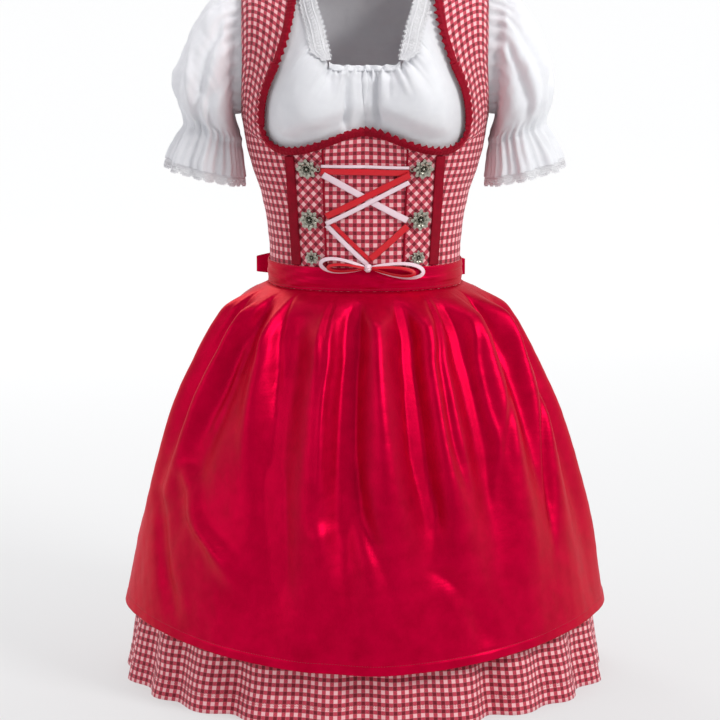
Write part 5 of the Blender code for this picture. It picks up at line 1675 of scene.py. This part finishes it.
sleeveFolds = {  # depth, width, then the fold's line as (along, turn in radians from the outer line)
    "Right": [
        (-0.0060, 0.16, [(0.10, 0.95), (0.25, 1.15), (0.42, 1.30), (0.58, 1.25), (0.70, 1.35)]),
        (0.0060, 0.20, [(0.16, 0.55), (0.30, 0.60), (0.45, 0.95), (0.60, 1.05)]),
        (-0.0055, 0.14, [(0.30, 0.15), (0.40, 0.45), (0.50, 0.80), (0.60, 0.95)]),
        (0.0050, 0.20, [(0.46, 0.00), (0.54, 0.10), (0.62, 0.50)]),
        (-0.0050, 0.16, [(0.06, 1.75), (0.25, 1.85), (0.45, 1.70), (0.66, 1.80)]),
        (-0.0045, 0.18, [(0.10, -0.9), (0.35, -1.1), (0.62, -1.0)]),
        (-0.0050, 0.20, [(0.10, -2.0), (0.40, -2.1), (0.66, -1.9)]),
    ],
    "Left": [
        (-0.0050, 0.18, [(0.08, 0.80), (0.25, 0.95), (0.45, 0.90), (0.64, 1.00)]),
        (0.0045, 0.22, [(0.12, 0.40), (0.30, 0.45), (0.50, 0.55)]),
        (-0.0040, 0.16, [(0.12, 1.35), (0.30, 1.50), (0.50, 1.45), (0.68, 1.55)]),
        (0.0040, 0.18, [(0.28, 1.15), (0.45, 1.20), (0.60, 1.25)]),
        (-0.0045, 0.14, [(0.40, 0.20), (0.52, 0.35), (0.64, 0.45)]),
        (-0.0045, 0.18, [(0.10, -1.0), (0.35, -1.2), (0.62, -1.1)]),
        (-0.0045, 0.20, [(0.10, -2.1), (0.40, -2.0), (0.66, -2.1)]),
    ],
}


def sleevePoint(along, around, out=0.0, word=""):
    along, around = np.broadcast_arrays(np.asarray(along, float), np.asarray(around, float))
    row = cuffAt(along)
    outer = np.stack([row[..., 0], 0 * along, row[..., 1]], axis=-1)
    inner = np.stack([row[..., 2], 0 * along, row[..., 3]], axis=-1)
    centre, reach = (outer + inner) / 2, (outer - inner) / 2
    size = np.linalg.norm(reach, axis=-1)
    clear = 0.30 + 0.70 * eased(np.cos(around) + 0.9)
    folds = row[..., 5] * np.cos(8 * around) + row[..., 6] * np.cos(5 * around + 0.6 + 1.5 * along)
    for depth, width, line in sleeveFolds.get(word, []):
        at = np.array(line)
        off = (around - through(at[:, 0], at[:, 1])(along) + math.pi) % (2 * math.pi) - math.pi
        life = eased((along - at[0, 0]) / 0.08 + 0.3) * eased((at[-1, 0] - along) / 0.08 + 0.3)
        life = life * eased((along - 0.05) / 0.12)
        folds = folds + sleeve["depth"] * depth * life * np.exp(-((off / width) ** 2))
    grow = out + folds * clear
    across = reach / size[..., None] * ((size + grow) * np.cos(around))[..., None]
    forward = np.stack([0 * along, -(row[..., 4] + grow) * np.sin(around), 0 * along], axis=-1)
    return centre + across + forward


def sleeveHead(around):
    depth = -blouseArmhole["halfDepth"] * np.sin(around)
    height = blouseArmhole["centre"] + blouseArmhole["halfHeight"] * np.cos(around)
    return form(onSide(depth, height)) + np.array([0.0006, 0.0, 0.0])


def makeSleeves():
    around = np.linspace(0, 2 * math.pi, sleeve["around"], endpoint=False)
    share = np.concatenate([np.linspace(*row) for row in sleeve["rows"]])
    for word, mirror in leftAndRight:
        body = sleevePoint(share[:, None], around[None, :], 0.0, word)
        head = sleeveHead(around)
        blend = eased(share / 0.05)[:, None, None]
        body = body * blend + (head + (body - sleevePoint(0.0, around))) * (1 - blend)
        points = np.concatenate([head[None], body])
        crumple = ripple(points, 0.030, 71) * 0.0014 + ripple(points, 0.013, 72) * 0.0005
        still = (eased(share / 0.1) * eased((0.66 - share) / 0.1))[:, None]
        away = unit(points[1:] - points[1:].mean(axis=1, keepdims=True))
        points[1:] += away * (crumple[1:] * still)[..., None]
        points = mirrored(points, mirror)
        whole = np.concatenate([points, points[:, :1]], axis=1)
        run = clothRun(whole)
        across = run[int(len(share) * 0.55), :, 0] * 1.12  # cut as wide as its fullest row
        along = run[:, 36, 1:2]
        cut = np.stack(np.broadcast_arrays(across[None, :], along), axis=-1)
        down = np.append(0.0, share)
        hold = np.exp(-((down / 0.14) ** 2)) * eased(down / 0.03)
        hold = hold + 1.1 * np.exp(-(((down - 0.705) / 0.075) ** 2))
        hold = hold + 0.8 * eased((down - 0.74) / 0.1)
        centre = mirrored(np.array([0.215, 0.0, 0.0]), mirror)
        piece = gridPiece(
            "sleeve" + word, points, cut, "cotton", inside=lambda c: c * [0, 0, 1] + centre, ring=True,
            marks={"round": (around / (2 * math.pi))[None, :], "hold": hold[:, None]},
        )
        grown(piece, "gathers", {
            "Count": sleeve["gathers"], "Depth": sleeve["gatherDepth"], "Wander": 2.0,
            "Seed": 3.0 if mirror else 8.0, "Cloth": finish["cotton"],
        })
        worn(walled(piece, sleeve["wall"]), "cotton", "sleeve_" + word.lower())
        cutSheet(piece)
        rings = []
        for place, lift in sleeve["stitching"]:
            ring = sleevePoint(place, np.linspace(0, 2 * math.pi, 260), lift)
            rings.append(mirrored(ring, mirror))
        sewn("sleeveStitches" + word, rings, "whiteThread")
        makeCuffLace(word, mirror)


def makeCuffLace(word, mirror):  # net with scallops, bars and picots in thread
    count = sleeve["scallops"]
    around = np.linspace(0, 2 * math.pi, count * 12, endpoint=False)
    phase = (around * count / (2 * math.pi)) % 1.0
    edge = 0.60 + 0.40 * np.sin(math.pi * phase) ** 0.7

    def laid(down, turn, out=0.0):
        return mirrored(sleevePoint(1.0012 + 0.0588 * np.asarray(down), turn, out), mirror)

    rows = np.linspace(0, 1, 9)
    points = np.stack([laid(r * edge, around, -0.0004) for r in rows])
    whole = np.concatenate([points, points[:, :1]], axis=1)
    centre = mirrored(np.array([0.215, 0.0, 0.0]), mirror)
    net = gridPiece(
        "cuffLace" + word, points, clothRun(whole), "lace", ring=True,
        inside=lambda c: c * [0, 0, 1] + centre,
    )
    lower = word.lower()
    worn(net, "lace", f"cuff_lace_{lower}_front", f"cuff_lace_{lower}_back")
    cutSheet(net)
    threads = [np.append(laid(edge, around), laid(edge[:1], around[:1]), axis=0)]
    for level in (0.02, 0.20):
        threads.append(laid(np.full(count * 12 + 1, level), np.append(around, 2 * math.pi)))
    inner = 0.34 + 0.38 * np.sin(math.pi * phase) ** 0.8
    threads.append(np.append(laid(inner, around), laid(inner[:1], around[:1]), axis=0))
    strung("cuffLaceCords" + word, threads, "laceThread", sleeve["cord"])
    rings = []
    step = 2 * math.pi / count
    for k in range(count):
        for down, shift, size in sleeve["eyelets"]:
            rings.append(threadRing(laid, down, (k + shift) * step, size))
        for shift in sleeve["picots"]:
            low = 0.60 + 0.40 * math.sin(math.pi * shift) ** 0.7
            rings.append(threadRing(laid, low + 0.05, (k + shift) * step, 0.0008))
    strung("cuffLaceRings" + word, rings, "laceThread", sleeve["picot"], sides=4, closed=True)


def threadRing(laid, down, turn, size):
    centre = laid(down, turn)
    along = unit(laid(down, turn + 0.02) - centre)
    below = unit(laid(down + 0.08, turn) - centre)
    return circle(centre, along, below, size)


makeSleeves()
print("sleeves made")


# Room, light and camera
room = {
    "floor": -0.9865,
    "pale": tint(150, 151, 152),
    "glow": (0.26, 0.78),  # the backdrop's own light before and behind the dress
    "wall": [  # the bowl's outline: reach, height
        (0.0, 0.0), (2.0, 0.0), (4.6, 0.0), (5.5, 0.05), (6.2, 0.25), (6.8, 0.7), (7.1, 1.4), (7.2, 7.0),
    ],
    "sky": (0.95, 0.97, 1.0, 1.0),
    "skyStrength": 0.3,
    "camera": (0.0, -3.4, 0.07),
    "tilt": 80.2,  # degrees from straight down
    "lens": 123.25,
    "shift": (-5 / 720, -18 / 720),  # pixels of the photograph's frame
    "lights": [  # name, place, target, width, power, colour
        ("keyLight", (2.3, -1.9, 1.6), (0, 0, -0.42), 1.0, 70.0, (1.0, 0.99, 0.98)),
        ("fillLight", (-2.6, -1.8, 0.5), (0, 0, -0.5), 1.6, 14.0, (0.97, 0.92, 0.98)),
        ("topLight", (0.0, -0.2, 2.4), (0, 0.2, -0.5), 1.8, 24.0, (1.0, 0.97, 0.98)),
        ("backLight", (-1.6, 2.4, 1.8), (0, 0, -0.4), 1.4, 24.0, (1.0, 1.0, 1.0)),
    ],
}


def makeBackdrop():  # a round pale studio, so that every side has it behind
    paint = Paint("backdrop", Roughness=0.95, Specular_IOR_Level=0.0, Emission_Strength=1.0)
    place = paint.node("ShaderNodeTexCoord", {}, {}, "Object")
    split = paint.node("ShaderNodeSeparateXYZ", {}, {0: place}, "Y")
    behind = (split * 0.16 + 0.5).limited()
    dim, bright = ((glow, glow, glow) for glow in room["glow"])
    glow = paint.mixed(behind, dim, bright)
    paint.set(paint.shader, {"Base Color": room["pale"], "Emission Color": glow})
    outline = [(reach, room["floor"] + up) for reach, up in room["wall"]]
    backdrop = turnedMesh("backdrop", [outline], 64)
    backdrop.data.flip_normals()
    backdrop.data.polygons.foreach_set("use_smooth", np.ones(len(backdrop.data.polygons), bool))
    backdrop.data.materials.append(paint.material)


def makeRoom():
    makeBackdrop()
    for name, place, target, size, power, colour in room["lights"]:
        light = bpy.data.lights.new(name, "AREA")
        light.size = size
        light.energy = power
        light.color = colour
        lamp = newPiece(name, light)
        lamp.location = place
        lamp.rotation_euler = (Vector(target) - Vector(place)).to_track_quat("-Z", "Y").to_euler()
    world = bpy.data.worlds.new("studio")
    world.use_nodes = True
    sky = world.node_tree.nodes["Background"].inputs
    sky[0].default_value = room["sky"]
    sky[1].default_value = room["skyStrength"]
    bpy.context.scene.world = world
    bpy.context.scene.view_settings.view_transform = "Standard"
    lens = bpy.data.cameras.new("camera")
    lens.lens = room["lens"]
    lens.sensor_width = 36.0
    lens.shift_x, lens.shift_y = room["shift"]
    lens.clip_end = 50.0
    camera = newPiece("camera", lens)
    camera.location = room["camera"]
    camera.rotation_euler = (math.radians(room["tilt"]), 0.0, 0.0)
    bpy.context.scene.camera = camera


makeRoom()
print("room made")
